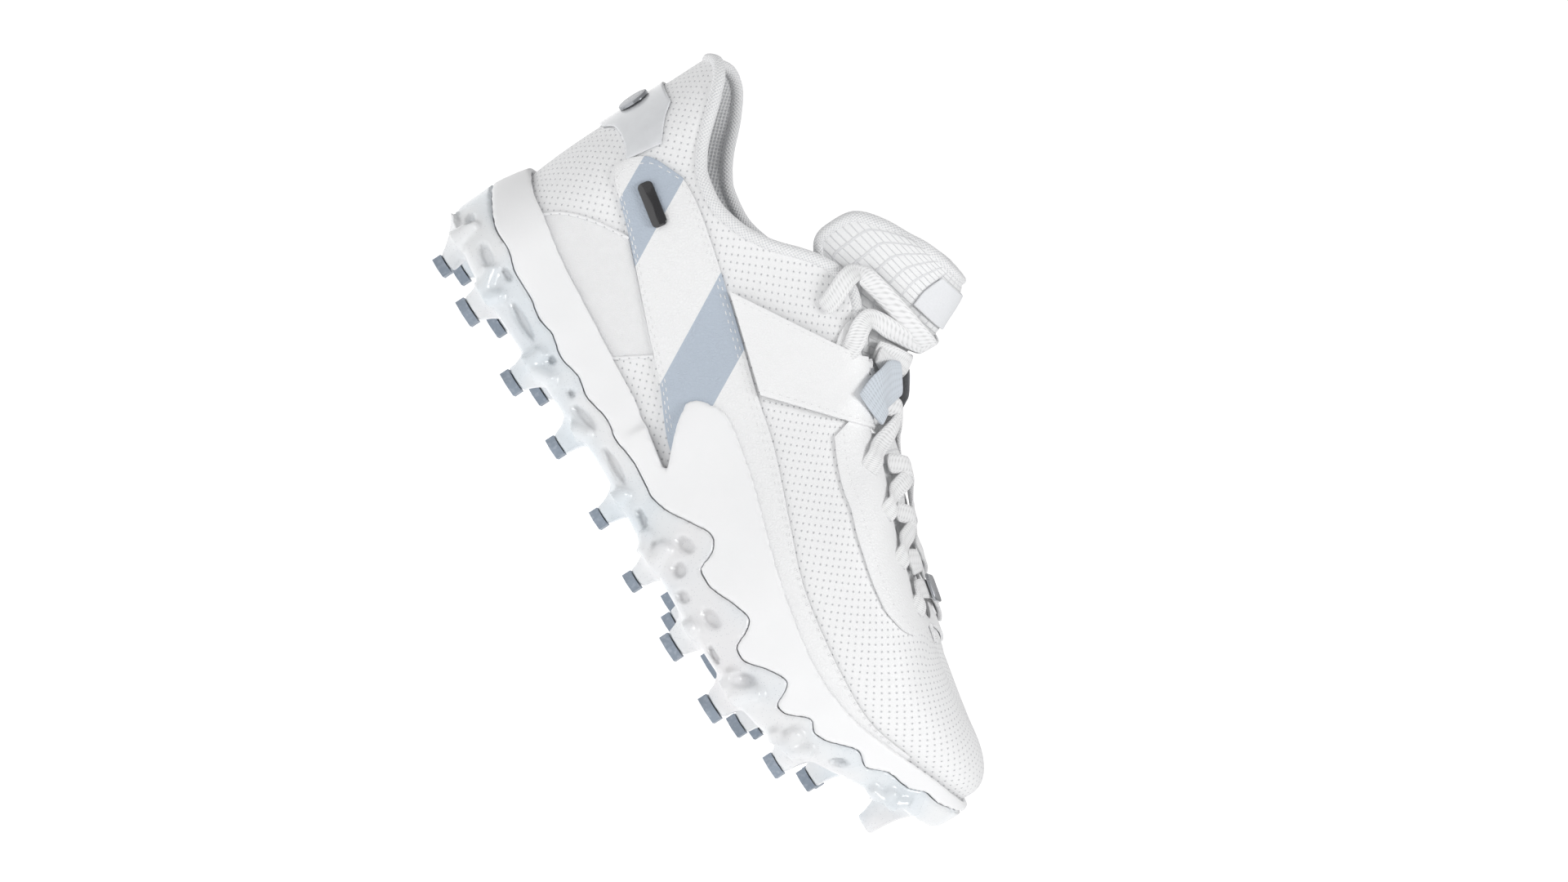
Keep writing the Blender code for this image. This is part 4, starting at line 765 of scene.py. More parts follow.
# plain finishes with a little life in them
def smoothFinish(name, colour, roughness, noiseScale, depth, **sockets):
    material, tree, shader, where = newFinish(name, colour, roughness, **sockets)
    grit = noise(tree, where["Object"], noiseScale, 3.0)
    lighter = tuple(min(part * 1.12, 1.0) for part in colour)
    feed(
        tree, shader, mix(tree, grit, colour, lighter), maths(tree, "MULTIPLY", grit, depth),
        mapRange(tree, grit, 0.3, 0.7, roughness - 0.04, roughness + 0.08),
    )
    return material


glossPatch = smoothFinish("glossPatch", (0.66, 0.672, 0.69), 0.16, 300.0, 0.00002, **{"Coat Weight": 0.6})
keeperMetal = smoothFinish("keeperMetal", (0.36, 0.37, 0.39), 0.30, 2000.0, 0.00002, Metallic=1.0)
badgeMetal = smoothFinish("badgeMetal", (0.34, 0.35, 0.37), 0.26, 1500.0, 0.00002, Metallic=0.8)
blackGloss = smoothFinish("blackGloss", (0.012, 0.012, 0.014), 0.12, 500.0, 0.00001, **{"Coat Weight": 0.8})
labelPatch = smoothFinish("labelPatch", (0.72, 0.73, 0.75), 0.55, 1600.0, 0.00008)
insoleCloth = knit("insoleCloth", (0.70, 0.72, 0.76), 0.0013, 0.00028, (0.50, 0.52, 0.56))
print("finishes made:", len(bpy.data.materials))


# making pieces
sides = ((outer, "Outer"), (inner, "Inner"))


def walkedLengths(spots):  # distance from the first spot to each one
    walked = [0.0]
    for a, b in zip(spots, spots[1:]):
        walked.append(walked[-1] + (b - a).length)
    return walked


def onPath(path, t):  # place and direction on a row of points, t from 0 to 1
    place = t * (len(path) - 1)
    i = min(int(place), len(path) - 2)
    along = (path[min(i + 2, len(path) - 1)] - path[max(i - 1, 0)]).normalized()
    return path[i].lerp(path[i + 1], place - i), along


def endSize(t, steepness):  # 1 along a strip or tube, with a round fall to 0 at its ends
    tail = min(t, 1 - t) * steepness
    return math.sqrt(1 - (1 - tail) ** 2) if tail < 1 else 1.0


def shapedGrid(columns, rows, place):  # a grid whose points a surface function moves, with its UV in metres
    mesh = bmesh.new()
    layer = mesh.loops.layers.uv.new("UVMap")
    bmesh.ops.create_grid(mesh, x_segments=columns, y_segments=rows, size=0.5)
    lengths = []
    for pick in (lambda t: (t, 0.5), lambda t: (0.5, t)):
        lengths.append(walkedLengths([place(*pick(i / 40)) for i in range(41)])[-1])
    for vert in mesh.verts:
        spot = (vert.co.x + 0.5, vert.co.y + 0.5)
        for loop in vert.link_loops:
            loop[layer].uv = ((spot[0] - 0.5) * lengths[0], (spot[1] - 0.5) * lengths[1])
        vert.co = place(*spot)
    return mesh


def joined(*meshes):  # several meshes as one
    result = meshes[0]
    for other in meshes[1:]:
        data = bpy.data.meshes.new("part")
        other.to_mesh(data)
        other.free()
        result.from_mesh(data)
        bpy.data.meshes.remove(data)
    return result


def welded(mesh, distance=0.00002):
    bmesh.ops.remove_doubles(mesh, verts=mesh.verts, dist=distance)
    bmesh.ops.recalc_face_normals(mesh, faces=mesh.faces)
    return mesh


def meshObject(name, mesh):
    data = bpy.data.meshes.new(name)
    mesh.to_mesh(data)
    mesh.free()
    made = bpy.data.objects.new(name, data)
    bpy.context.collection.objects.link(made)
    return made


def newPiece(name, mesh, materials, replaces=()):
    bmesh.ops.translate(mesh, vec=shift, verts=mesh.verts)
    piece = meshObject(name, mesh)
    for material in materials:
        piece.data.materials.append(material)
    piece.data.shade_smooth()
    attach(piece, "root")
    if replaces:
        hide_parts(*replaces)
    return piece


def addWall(piece, thickness, offset, **settings):
    wall = piece.modifiers.new("Wall", "SOLIDIFY")
    wall.thickness = thickness
    wall.offset = offset
    wall.use_even_offset = False
    for name, value in settings.items():
        setattr(wall, name, value)


def thicken(piece, thickness, edge=0.00035):  # a sheet grown outward, with rounded edges
    addWall(piece, thickness, 1.0)
    rounding = piece.modifiers.new("Rounded edges", "BEVEL")
    rounding.width = edge
    rounding.segments = 2
    rounding.limit_method = "ANGLE"
    rounding.angle_limit = math.radians(55)


def turnOut(mesh, face, outward):  # turns the faces over where this one looks inward
    if face.normal.dot(outward) < 0:
        bmesh.ops.reverse_faces(mesh, faces=mesh.faces)


def settled(piece):  # its modifiers applied
    graph = bpy.context.evaluated_depsgraph_get()
    data = bpy.data.meshes.new_from_object(piece.evaluated_get(graph))
    piece.modifiers.clear()
    piece.data = data
    return piece


def remeshed(piece, voxel, smoothing):  # melts overlapping bodies into one skin
    remesh = piece.modifiers.new("Skin", "REMESH")
    remesh.mode = "VOXEL"
    remesh.voxel_size = voxel
    remesh.use_smooth_shade = True
    smooth = piece.modifiers.new("Soft", "SMOOTH")
    smooth.factor = 0.5
    smooth.iterations = smoothing
    return settled(piece)


def alongPath(points, t):  # a smooth curve through vectors, t from 0 to 1
    place = min(max(t, 0.0), 1.0) * (len(points) - 1)
    i = min(int(place), len(points) - 2)
    f = place - i
    a, b = points[max(i - 1, 0)], points[i]
    c, d = points[i + 1], points[min(i + 2, len(points) - 1)]
    return (
        b * 2 + (c - a) * f + (a * 2 - b * 5 + c * 4 - d) * f**2 + (b * 3 - a - c * 3 + d) * f**3
    ) / 2


def evenPath(points, count):  # the same curve at even steps
    steps = count * 6
    fine = [alongPath(points, i / steps) for i in range(steps + 1)]
    walked = walkedLengths(fine)
    spots, index = [], 0
    for i in range(count + 1):
        target = walked[-1] * i / count
        while index < len(walked) - 2 and walked[index + 1] < target:
            index += 1
        span = max(walked[index + 1] - walked[index], 1e-9)
        spots.append(fine[index].lerp(fine[index + 1], (target - walked[index]) / span))
    return spots


def edgeCurve(corners, count=60):  # an even curve through (x, z) pairs
    return evenPath([Vector((x, 0, z)) for x, z in corners], count)


def between(bottom, top, left, right_):  # a patch stretched between four edges
    a, b, c, d = bottom[0], bottom[-1], top[0], top[-1]

    def patch(u, v):
        low, high = onPath(bottom, u)[0], onPath(top, u)[0]
        start, end = onPath(left, v)[0], onPath(right_, v)[0]
        return (
            low * (1 - v) + high * v + start * (1 - u) + end * u
            - (a * (1 - u) * (1 - v) + b * u * (1 - v) + c * (1 - u) * v + d * u * v)
        )

    return patch


def sidePairs(points):  # (share, part) pairs as (x, z)
    return [(shareX(share), partZ(part)) for share, part in points]


def onUpper(side, patch, lift):  # a side-view patch laid on the upper
    def place(u, v):
        flat = patch(u, v)
        turn, level = upperAt(side, flat.x, flat.z)
        return liftedPoint(side, turn, level, lift)

    return place


thread = {"showing": 0.72, "sunk": 0.0004, "thinnest": 0.2, "flatness": 0.84}


def stitches(name, paths, pitch=0.0025, width=0.00032):
    # each path is a list of (point, normal); its thread surfaces as long beads and dips in between
    ropes = []
    for path in paths:
        walked = walkedLengths([point for point, _ in path])
        count = max(int(walked[-1] / pitch), 1)

        def place(u, v, path=path, walked=walked, count=count):
            target = min(max(u, 0.0), 1.0) * walked[-1]
            i = min(max(bisect.bisect_right(walked, target) - 1, 0), len(path) - 2)
            part = (target - walked[i]) / max(walked[i + 1] - walked[i], 1e-9)
            (a, na), (b, nb) = path[i], path[i + 1]
            spot, normal = a.lerp(b, part), na.lerp(nb, part).normalized()
            across = normal.cross(b - a).normalized()
            inStitch = (u * count) % 1.0
            swell = math.sin(math.pi * min(inStitch / thread["showing"], 1.0)) ** 0.4
            angle = math.tau * v
            size = width / 2 * (thread["thinnest"] + (1 - thread["thinnest"]) * swell)
            return (
                spot + across * size * math.cos(angle)
                + normal * (size * thread["flatness"] * math.sin(angle) - thread["sunk"] * (1 - swell))
            )

        ropes.append(capped(welded(shapedGrid(count * 7, 6, place), 0.000005)))
    return newPiece(name, joined(*ropes), [threadWhite])


def patchLine(side, patch, line, lift, count):
    # a stitch path on a side-view patch: line gives (u, v) for t from 0 to 1
    path = []
    for i in range(count + 1):
        flat = patch(*line(i / count))
        turn, level = upperAt(side, flat.x, flat.z)
        path.append((liftedPoint(side, turn, level, lift), upperNormal(side, turn, level)))
    return path


# outsole
outsole = {
    "stations": 420,
    "voxel": 0.00078,
    "smoothing": 2,
    "studWidth": 0.0070,
    "studFlare": 0.0036,
    "toeStud": (0.943, 0.0255, 0.0066, 0.001, 0.0125),  # share, inset, length, lean, drop from the plate
    "recessDepth": 0.0021,
    "recessReach": 1.35,  # how far past its size a recess fades out
    "fingerRaise": 0.0032,
    "fingerRoot": 0.0006,  # how far below the plate's edge a finger starts
}
studRows = [  # share, distance in from the outline, length, lean, lift, side
    (0.046, 0.0090, 0.0064, 0.0042, 0.0, outer), (0.140, 0.0085, 0.0088, -0.0010, 0.0, outer),
    (0.247, 0.0085, 0.0080, -0.0010, 0.0, outer), (0.340, 0.0080, 0.0068, 0.0010, 0.0012, outer),
    (0.449, 0.0075, 0.0062, 0.0008, 0.0012, outer), (0.540, 0.0080, 0.0062, 0.0010, 0.0, outer),
    (0.640, 0.0085, 0.0086, 0.0006, 0.0, outer), (0.730, 0.0090, 0.0088, 0.0010, 0.0, outer),
    (0.828, 0.0095, 0.0076, 0.0018, 0.0068, outer), (0.046, 0.0090, 0.0064, 0.0042, 0.0, inner),
    (0.140, 0.0085, 0.0088, -0.0010, 0.0, inner), (0.247, 0.0085, 0.0080, -0.0010, 0.0, inner),
    (0.560, 0.0080, 0.0066, 0.0008, 0.0, inner), (0.655, 0.0085, 0.0086, 0.0006, 0.0, inner),
    (0.745, 0.0090, 0.0088, 0.0010, 0.0, inner), (0.838, 0.0095, 0.0076, 0.0024, 0.0082, inner),
    (0.600, 0.0380, 0.0072, 0.0006, 0.0, outer), (0.757, 0.0280, 0.0070, 0.0010, 0.0018, outer),
    (0.858, 0.0280, 0.0068, 0.0014, 0.0105, outer),
]
fingerRows = [  # share at the plate, share at the tip, height of the tip over the plate, radius
    (0.052, 0.047, 0.0085, 0.0023), (0.128, 0.107, 0.0074, 0.0021), (0.140, 0.151, 0.0052, 0.0021),
    (0.240, 0.235, 0.0062, 0.0022), (0.252, 0.279, 0.0040, 0.0020), (0.345, 0.363, 0.0030, 0.0020),
    (0.449, 0.446, 0.0042, 0.0021), (0.530, 0.500, 0.0034, 0.0020), (0.542, 0.533, 0.0080, 0.0025),
    (0.640, 0.640, 0.0032, 0.0022), (0.728, 0.712, 0.0050, 0.0022), (0.738, 0.760, 0.0085, 0.0025),
    (0.820, 0.801, 0.0028, 0.0020), (0.826, 0.819, 0.0080, 0.0023), (0.834, 0.852, 0.0034, 0.0021),
    (0.938, 0.922, 0.0014, 0.0018), (0.943, 0.940, 0.0052, 0.0021), (0.950, 0.962, 0.0040, 0.0019),
]
recessRows = [  # share, height as a share of the wave's crest, half length, half height, tilt
    (0.036, 0.34, 0.0016, 0.0013, 0.0), (0.092, 0.34, 0.0038, 0.0019, -0.05),
    (0.128, 0.47, 0.0022, 0.0012, 0.10), (0.190, 0.30, 0.0062, 0.0014, -0.05),
    (0.252, 0.34, 0.0013, 0.0011, 0.0), (0.301, 0.30, 0.0012, 0.0010, 0.0),
    (0.336, 0.24, 0.0044, 0.0015, 0.10), (0.410, 0.22, 0.0058, 0.0013, 0.0),
    (0.486, 0.22, 0.0028, 0.0011, -0.1), (0.545, 0.62, 0.0032, 0.0019, 0.45),
    (0.568, 0.35, 0.0022, 0.0020, 0.0), (0.600, 0.20, 0.0020, 0.0015, 0.3),
    (0.643, 0.40, 0.0034, 0.0020, 0.25), (0.684, 0.14, 0.0028, 0.0010, -0.1),
    (0.731, 0.30, 0.0034, 0.0020, 0.90),
    (0.878, 0.22, 0.0018, 0.0013, 0.5),
]


def wrappedLoft(rings):  # a closed skin through rings of as many points each
    count = len(rings[0])

    def place(u, v):
        i, j = round(u * (len(rings) - 1)), round(v * count) % count
        return rings[i][j].copy()

    return welded(shapedGrid(len(rings) - 1, count, place), 0.00001)


def capped(mesh):
    rims = [edge for edge in mesh.edges if edge.is_boundary]
    if rims:
        bmesh.ops.holes_fill(mesh, edges=rims)
    bmesh.ops.recalc_face_normals(mesh, faces=mesh.faces)
    return mesh


def bothSides(chain, heightLine, low, high):
    outside, inside = chain(outer), chain(inner)
    middles = [
        over((a + b) / 2, heightLine, extra)
        for a, b, extra in ((outside[0], inside[0], low), (outside[-1], inside[-1], high))
    ]
    return [middles[0]] + outside + [middles[1]] + list(reversed(inside))


def outsoleRing(turn):
    crest = waveHeight(shareAt(turn)) + form["cupGap"] * 0.6

    def chain(side):
        return [
            over(outlinePoint(side, turn, 0.0040), plateHeight),
            over(outlinePoint(side, turn, 0.0016), plateHeight, 0.0006),
            over(outlinePoint(side, turn, 0.0004), plateHeight, 0.0024),
            raised(outlinePoint(side, turn), crest),
            raised(outlinePoint(side, turn, form["sideWall"]), crest),
            over(outlinePoint(side, turn, form["sideWall"] + 0.0012), plateHeight, form["plate"]),
        ]

    return bothSides(chain, plateHeight, 0.0, form["plate"])


def studRings(share, inset, length, lean, side, dropTo):
    half = form["ballWidth"] * plan("half", share) * endRound(share) - inset
    middle = Vector((shareX(share), form["ballWidth"] * plan("middle", share) + side * half, 0))
    rings = []
    for part, grow, leaned in (
        (0.0, 0.0, 1.0), (0.3, 0.12, 0.75), (0.55, 0.32, 0.48), (0.75, 0.62, 0.25), (0.9, 1.05, 0.1),
        (1.0, 1.5, 0.0),
    ):
        halfLength = length / 2 + outsole["studFlare"] * grow
        halfWidth = outsole["studWidth"] / 2 + outsole["studFlare"] * grow
        ring = []
        for along, across in ((1, -0.6), (1, 0.6), (0, 1), (-1, 0.6), (-1, -0.6), (0, -1)):
            point = middle + Vector((lean * leaned + halfLength * along, halfWidth * across, 0))
            root = plateHeight(shareOf(point)) + form["plate"] / 2
            ring.append(raised(point, dropTo + (root - dropTo) * part))
        rings.append(ring)
    return rings


def sidePoint(side, share, height):
    turn = turnAt(share)
    out = (outlinePoint(side, turn) - outlinePoint(side, turn, 0.001)).normalized()
    return raised(outlinePoint(side, turn, 0.0004), plateHeight(share) + height), out


def fingerRings(side, foot, tip, height, radius):
    def spotAt(part):
        root = outsole["fingerRoot"]
        return sidePoint(side, foot + (tip - foot) * part**1.6, -root + (height + root) * part)

    rings = []
    for step in range(11):
        part = step / 10
        spot, out = spotAt(part)
        along = (spotAt(part + 0.05)[0] - spot).normalized()
        across = along.cross(out).normalized()
        wide = radius * (1.75 - 1.2 * part + 0.75 * part**3)  # waisted, with a round lobe at its tip
        if part > 0.8:
            wide *= math.sqrt(max(1 - ((part - 0.8) / 0.22) ** 2, 0.05))
        thick = outsole["fingerRaise"] * (1.25 - 0.35 * part) * (1 if part <= 0.8 else wide / radius)
        rings.append([
            spot + across * wide * math.cos(angle) + out * thick * max(math.sin(angle), -0.9)
            for angle in (math.tau * i / 12 for i in range(12))
        ])
    return rings


turnsFine = [i / outsole["stations"] for i in range(outsole["stations"] + 1)]
bodies = [wrappedLoft([outsoleRing(turn) for turn in turnsFine])]
for share, inset, length, lean, lift, side in studRows:
    dropTo = lift + form["tipHeight"] + form["gap"]
    bodies.append(capped(wrappedLoft(studRings(share, inset, length, lean, side, dropTo))))
share, inset, length, lean, drop = outsole["toeStud"]
bodies.append(capped(wrappedLoft(studRings(share, inset, length, lean, outer, plateHeight(share) - drop))))
for side in (outer, inner):
    for row in fingerRows:
        bodies.append(capped(wrappedLoft(fingerRings(side, *row))))
outsolePiece = newPiece("outsoleMoulding", joined(*bodies), [iceRubber], ["outsole"])
remeshed(outsolePiece, outsole["voxel"], outsole["smoothing"])

# recesses pressed into the side
pressed = bmesh.new()
pressed.from_mesh(outsolePiece.data)
pressed.normal_update()
for vert in pressed.verts:
    spot = vert.co - shift
    share = shareOf(spot)
    if not 0.01 < share < 0.99 or spot.z > waveHeight(share) + 0.001:
        continue
    side = outer if spot.y < form["ballWidth"] * plan("middle", share) else inner
    plate = plateHeight(share)
    for at, high, halfLong, halfTall, tilt in recessRows:
        dx, dz = spot.x - shareX(at), spot.z - plate - form["waveHeight"] * high
        if abs(dx) > 0.009 or abs(dz) > 0.009:
            continue
        along = (dx * math.cos(tilt) + dz * math.sin(tilt)) / halfLong
        tall = (-dx * math.sin(tilt) + dz * math.cos(tilt)) / halfTall
        reach = math.hypot(along, tall)
        _, out = sidePoint(side, share, 0.0)
        if reach < outsole["recessReach"] and vert.normal.dot(out) > 0.35:
            part = min(max((outsole["recessReach"] - reach) / 0.6, 0.0), 1.0)
            vert.co -= out * outsole["recessDepth"] * part * part * (3 - 2 * part)
pressed.to_mesh(outsolePiece.data)
pressed.free()
outsolePiece.data.shade_smooth()
print("outsole:", len(outsolePiece.data.polygons), "faces")
for number in range(1, 20):
    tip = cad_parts[f"stud_tip_{number:02d}"]
    tip.data.materials.clear()
    tip.data.materials.append(slateRubber)

# midsole
midsole = {
    "stations": 420,
    "voxel": 0.00085,
    "smoothing": 3,
    "notch": (
        (0.365, 0.222), (0.400, 0.206), (0.457, 0.184), (0.431, 0.243), (0.408, 0.298), (0.392, 0.352),
        (0.386, 0.380), (0.365, 0.380),
    ),
}


def midsoleRing(turn):
    share = shareAt(turn)
    crest = waveHeight(share) + form["cupGap"]

    def chain(side):
        rim = rimHeight(side, share)
        bed, widest = bedHeight(share), bulgeHeight(share)
        part = min(max((rim - bed) / (widest - bed), 0.0), 1.0)
        rimAngle = math.acos(1 - part)
        rimInset = form["bulgeInset"] + form["corner"] * (1 - math.sin(rimAngle)) - form["cupGap"]
        points = [
            over(outlinePoint(side, turn, form["sideWall"] + 0.0012 + form["cupGap"]), plateHeight,
                 form["plate"] + form["gap"]),
            raised(outlinePoint(side, turn, form["sideWall"] + 0.0002 + form["gap"]), crest),
            raised(outlinePoint(side, turn), crest),
        ]
        for part in (0.12, 0.28, 0.45, 0.62, 0.80, 0.93, 1.0):
            inset = (rimInset - form["rim"]) * part**1.5
            points.append(raised(outlinePoint(side, turn, inset), crest + (rim - crest) * part))
        for part in (1.0, 0.75, 0.5, 0.25, 0.0):
            angle = rimAngle * part
            surface = upperPoint(side, turn, angle / (math.pi / 2))
            inset = (
                form["bulgeInset"] + form["corner"] * (1 - math.sin(angle)) - form["cupGap"] * math.sin(angle)
            )
            points.append(raised(outlinePoint(side, turn, inset), surface.z - form["cupGap"] * math.cos(angle)))
        return points

    ring = bothSides(chain, plateHeight, form["plate"] + form["gap"], 0.0)
    middle = len(ring) // 2
    ring[middle] = over(ring[middle], bedHeight, -form["cupGap"])
    return ring


cup = wrappedLoft([midsoleRing(i / midsole["stations"]) for i in range(midsole["stations"] + 1)])
midsolePiece = newPiece("midsoleCup", cup, [foam], ["midsole"])
cutterMesh = bmesh.new()
corners = [cutterMesh.verts.new((x, -form["ballWidth"], z)) for x, z in sidePairs(midsole["notch"])]
face = cutterMesh.faces.new(corners)
grown = bmesh.ops.extrude_face_region(cutterMesh, geom=[face])
bmesh.ops.translate(
    cutterMesh, vec=(0, form["ballWidth"] * 0.8, 0),
    verts=[item for item in grown["geom"] if isinstance(item, bmesh.types.BMVert)],
)
bmesh.ops.recalc_face_normals(cutterMesh, faces=cutterMesh.faces)
cutter = meshObject("waistCut", cutterMesh)
cut = midsolePiece.modifiers.new("Notch", "BOOLEAN")
cut.operation, cut.solver, cut.object = "DIFFERENCE", "EXACT", cutter
remeshed(midsolePiece, midsole["voxel"], midsole["smoothing"])
bpy.data.objects.remove(cutter, do_unlink=True)
print("midsole:", len(midsolePiece.data.polygons), "faces")

# upper
upper = {"columns": 150, "rows": 66, "marginRows": 0.08}


def outlineWalk(side):  # distance from the heel along the widest line, for each column
    count = upper["columns"]
    return walkedLengths([outlinePoint(side, i / count, form["bulgeInset"]) for i in range(count + 1)])


def upperUv(mesh, side):  # rows of holes follow the widest line: distance along it, walked height up
    columns = outlineWalk(side)
    layer = mesh.loops.layers.uv.active
    walked = {}
    for vert in mesh.verts:
        for loop in vert.link_loops:
            turn, row = loop[layer].uv
            key = (round(turn, 5), round(row, 5))
            if key not in walked:
                walked[key] = (columns[round(turn * upper["columns"])], columnLength(side, turn, row))
            loop[layer].uv = walked[key]


columnCache = {}


def columnLength(side, turn, row):
    key = (side, round(turn, 5))
    if key not in columnCache:
        columnCache[key] = walkedLengths([upperPoint(side, turn, i / 12) for i in range(25)])
    place = min(max(levelOfRow(row) / 2, 0.0), 1.0) * 24
    i = min(int(place), 23)
    lengths = columnCache[key]
    return lengths[i] + (lengths[i + 1] - lengths[i]) * (place - i)


def levelOfRow(row):
    margin = upper["marginRows"]
    return -1 + row / margin if row < margin else 2 * (row - margin) / (1 - margin)


def upperSide(side):
    mesh = bmesh.new()
    layer = mesh.loops.layers.uv.new("UVMap")
    bmesh.ops.create_grid(mesh, x_segments=upper["columns"], y_segments=upper["rows"], size=0.5)
    for vert in mesh.verts:
        turn, row = vert.co.x + 0.5, vert.co.y + 0.5
        for loop in vert.link_loops:
            loop[layer].uv = (turn, row)
        vert.co = upperPoint(side, turn, levelOfRow(row))
    upperUv(mesh, side)
    if side == outer:
        bmesh.ops.reverse_faces(mesh, faces=mesh.faces)
    return mesh


shell = joined(upperSide(outer), upperSide(inner))
bmesh.ops.remove_doubles(shell, verts=shell.verts, dist=0.00003)
bmesh.ops.recalc_face_normals(shell, faces=shell.faces)
turnOut(shell, min(shell.faces, key=lambda face: face.calc_center_median().y), Vector((0, -1, 0)))
upperPiece = newPiece("upperShell", shell, [upperLeather, liningMesh], ["upper"])
addWall(upperPiece, form["wall"], -1.0, material_offset=1, material_offset_rim=0)
print("upper:", len(upperPiece.data.polygons), "faces")

# insole, seen down through the collar
insole = {"thickness": 0.003, "columns": 60}
inset = form["bulgeInset"] + form["corner"] + form["wall"] + form["gap"]


def insoleRing(turn):
    floor = form["wall"] + form["gap"]

    def chain(side):
        return [
            over(outlinePoint(side, turn, inset + more), bedHeight, floor + insole["thickness"] * tall)
            for more, tall in (
                (0.0002, 0.0), (0.0, 0.35), (0.0002, 0.7), (0.0008, 0.92), (0.0018, 1.0), (0.008, 1.0),
            )
        ]

    return bothSides(chain, bedHeight, floor, floor + insole["thickness"])


insolePiece = newPiece(
    "insolePad", wrappedLoft([insoleRing(i / insole["columns"]) for i in range(insole["columns"] + 1)]),
    [insoleCloth], ["insole"],
)

# collar binding
collar = {"points": 150, "around": 18, "radius": form["collarRoll"] / 2 + 0.0001}


def collarCentre(t):  # from the outer throat round the heel to the inner throat
    side = outer if t < 0.5 else inner
    turn = turnAt(form["collarEnd"]) * abs(t - 0.5) * 2
    normal = upperNormal(side, turn, 1.9)
    if turn < 0.012:
        normal = (upperNormal(outer, turn, 1.9) + upperNormal(inner, turn, 1.9)).normalized()
    top = topPoint(side, turn)
    return raised(top - normal * form["wall"] / 2, top.z - form["collarRoll"] / 2)


centres = evenPath([collarCentre(i / 90) for i in range(91)], collar["points"])


def tubePoint(path, t, angle, radii, flat=up):
    spot, along = onPath(path, t)
    across = along.cross(flat).normalized()
    upward = across.cross(along)
    return spot + across * math.cos(angle) * radii[0] + upward * math.sin(angle) * radii[1]


def collarPlace(u, v):
    radius = collar["radius"] * endSize(u, 60)
    return tubePoint(centres, u, math.tau * v, (radius, radius))


collarPiece = newPiece(
    "collarBinding", welded(shapedGrid(collar["points"], collar["around"], collarPlace)), [collarKnit],
    ["collar_roll"],
)
print("collar and insole done")

# tongue
tongue = {
    "thickness": 0.0040, "columns": 44, "rows": 84, "bandHalf": 0.0018, "bandInset": 0.0008,
    "bandThick": 0.0025,
}
underLaces = (0.845, 0.82, 0.795, 0.77, 0.745, 0.72, 0.695, 0.67, 0.645, 0.62, 0.60, 0.58)
tongueSteps = [(False, share) for share in underLaces] + [(True, i / 14) for i in range(15)]


def tongueSheet(across, t):
    place = t * (len(tongueSteps) - 1)
    i = min(int(place), len(tongueSteps) - 2)
    spots = []
    for k in (i - 1, i, i + 1, i + 2):
        free, value = tongueSteps[min(max(k, 0), len(tongueSteps) - 1)]
        spots.append(tonguePoint(across, value) if free else tongueBasePoint(across, value))
    return alongPath(spots, (1 + place - i) / 3)


def tongueNormal(across, t):
    small = 0.01
    sideways = tongueSheet(min(across + small, 1), t) - tongueSheet(max(across - small, -1), t)
    upwards = tongueSheet(across, min(t + small, 1)) - tongueSheet(across, max(t - small, 0))
    return sideways.cross(upwards).normalized()


def tongueFace(front):
    def place(u, v):
        across = (u - 0.5) * 2
        normal = tongueNormal(across * 0.98, v)
        fade = max(1 - abs(across) ** 8, 0.0) ** 0.5 * max(1 - v**24, 0.0) ** 0.5 * min(v * 30, 1.0) ** 0.5
        half = tongue["thickness"] / 2
        return tongueSheet(across, v) - normal * half + normal * half * fade * (1 if front else -1)

    return place


faces = [shapedGrid(tongue["columns"], tongue["rows"], tongueFace(front)) for front in (True, False)]
tonguePiece = newPiece("tonguePad", welded(joined(*faces), 0.00004), [ripstop], ["tongue"])

freeStart = 13 / 26  # where the tongue leaves the laces, as a part of its steps


def tongueEdge(t):  # up the outer edge, over the top and down the inner edge
    if t < 0.36:
        across, v = -1.0, freeStart + (1 - freeStart) * t / 0.36
    elif t > 0.64:
        across, v = 1.0, freeStart + (1 - freeStart) * (1 - t) / 0.36
    else:
        across, v = (t - 0.5) / 0.14, 1.0
    return tongueSheet(across, v) - tongueNormal(across * 0.98, min(v, 0.98)) * tongue["thickness"] / 2


rim = evenPath([tongueEdge(i / 56) for i in range(57)], 150)
for _ in range(6):  # the band rounds the corners
    rim = [rim[0]] + [(a + b * 2 + c) / 4 for a, b, c in zip(rim, rim[1:], rim[2:])] + [rim[-1]]
tongueMiddle = tonguePoint(0, 0.6)


def bandPlace(u, v):
    spot, along = onPath(rim, u)
    inward = tongueMiddle - spot
    inward = (inward - along * inward.dot(along)).normalized()
    thick = along.cross(inward).normalized()
    angle = math.tau * v
    return spot + (
        inward * (tongue["bandHalf"] * math.cos(angle) + tongue["bandInset"])
        + thick * tongue["bandThick"] * math.sin(angle)
    ) * endSize(u, 50)


bandPiece = newPiece("tongueBinding", welded(shapedGrid(150, 14, bandPlace)), [collarKnit])

label = {"rows": (0.50, 0.82), "spread": 0.42, "thickness": 0.0008}


def labelPlace(u, v):
    low, high = label["rows"]
    return tongueFront((u - 0.5) * 2 * label["spread"], low + (high - low) * v, form["gap"])


labelMesh = shapedGrid(24, 20, labelPlace)
labelPiece = newPiece("tonguePatch", labelMesh, [labelPatch], ["tongue_label"])
thicken(labelPiece, label["thickness"], 0.00025)
print("tongue done")

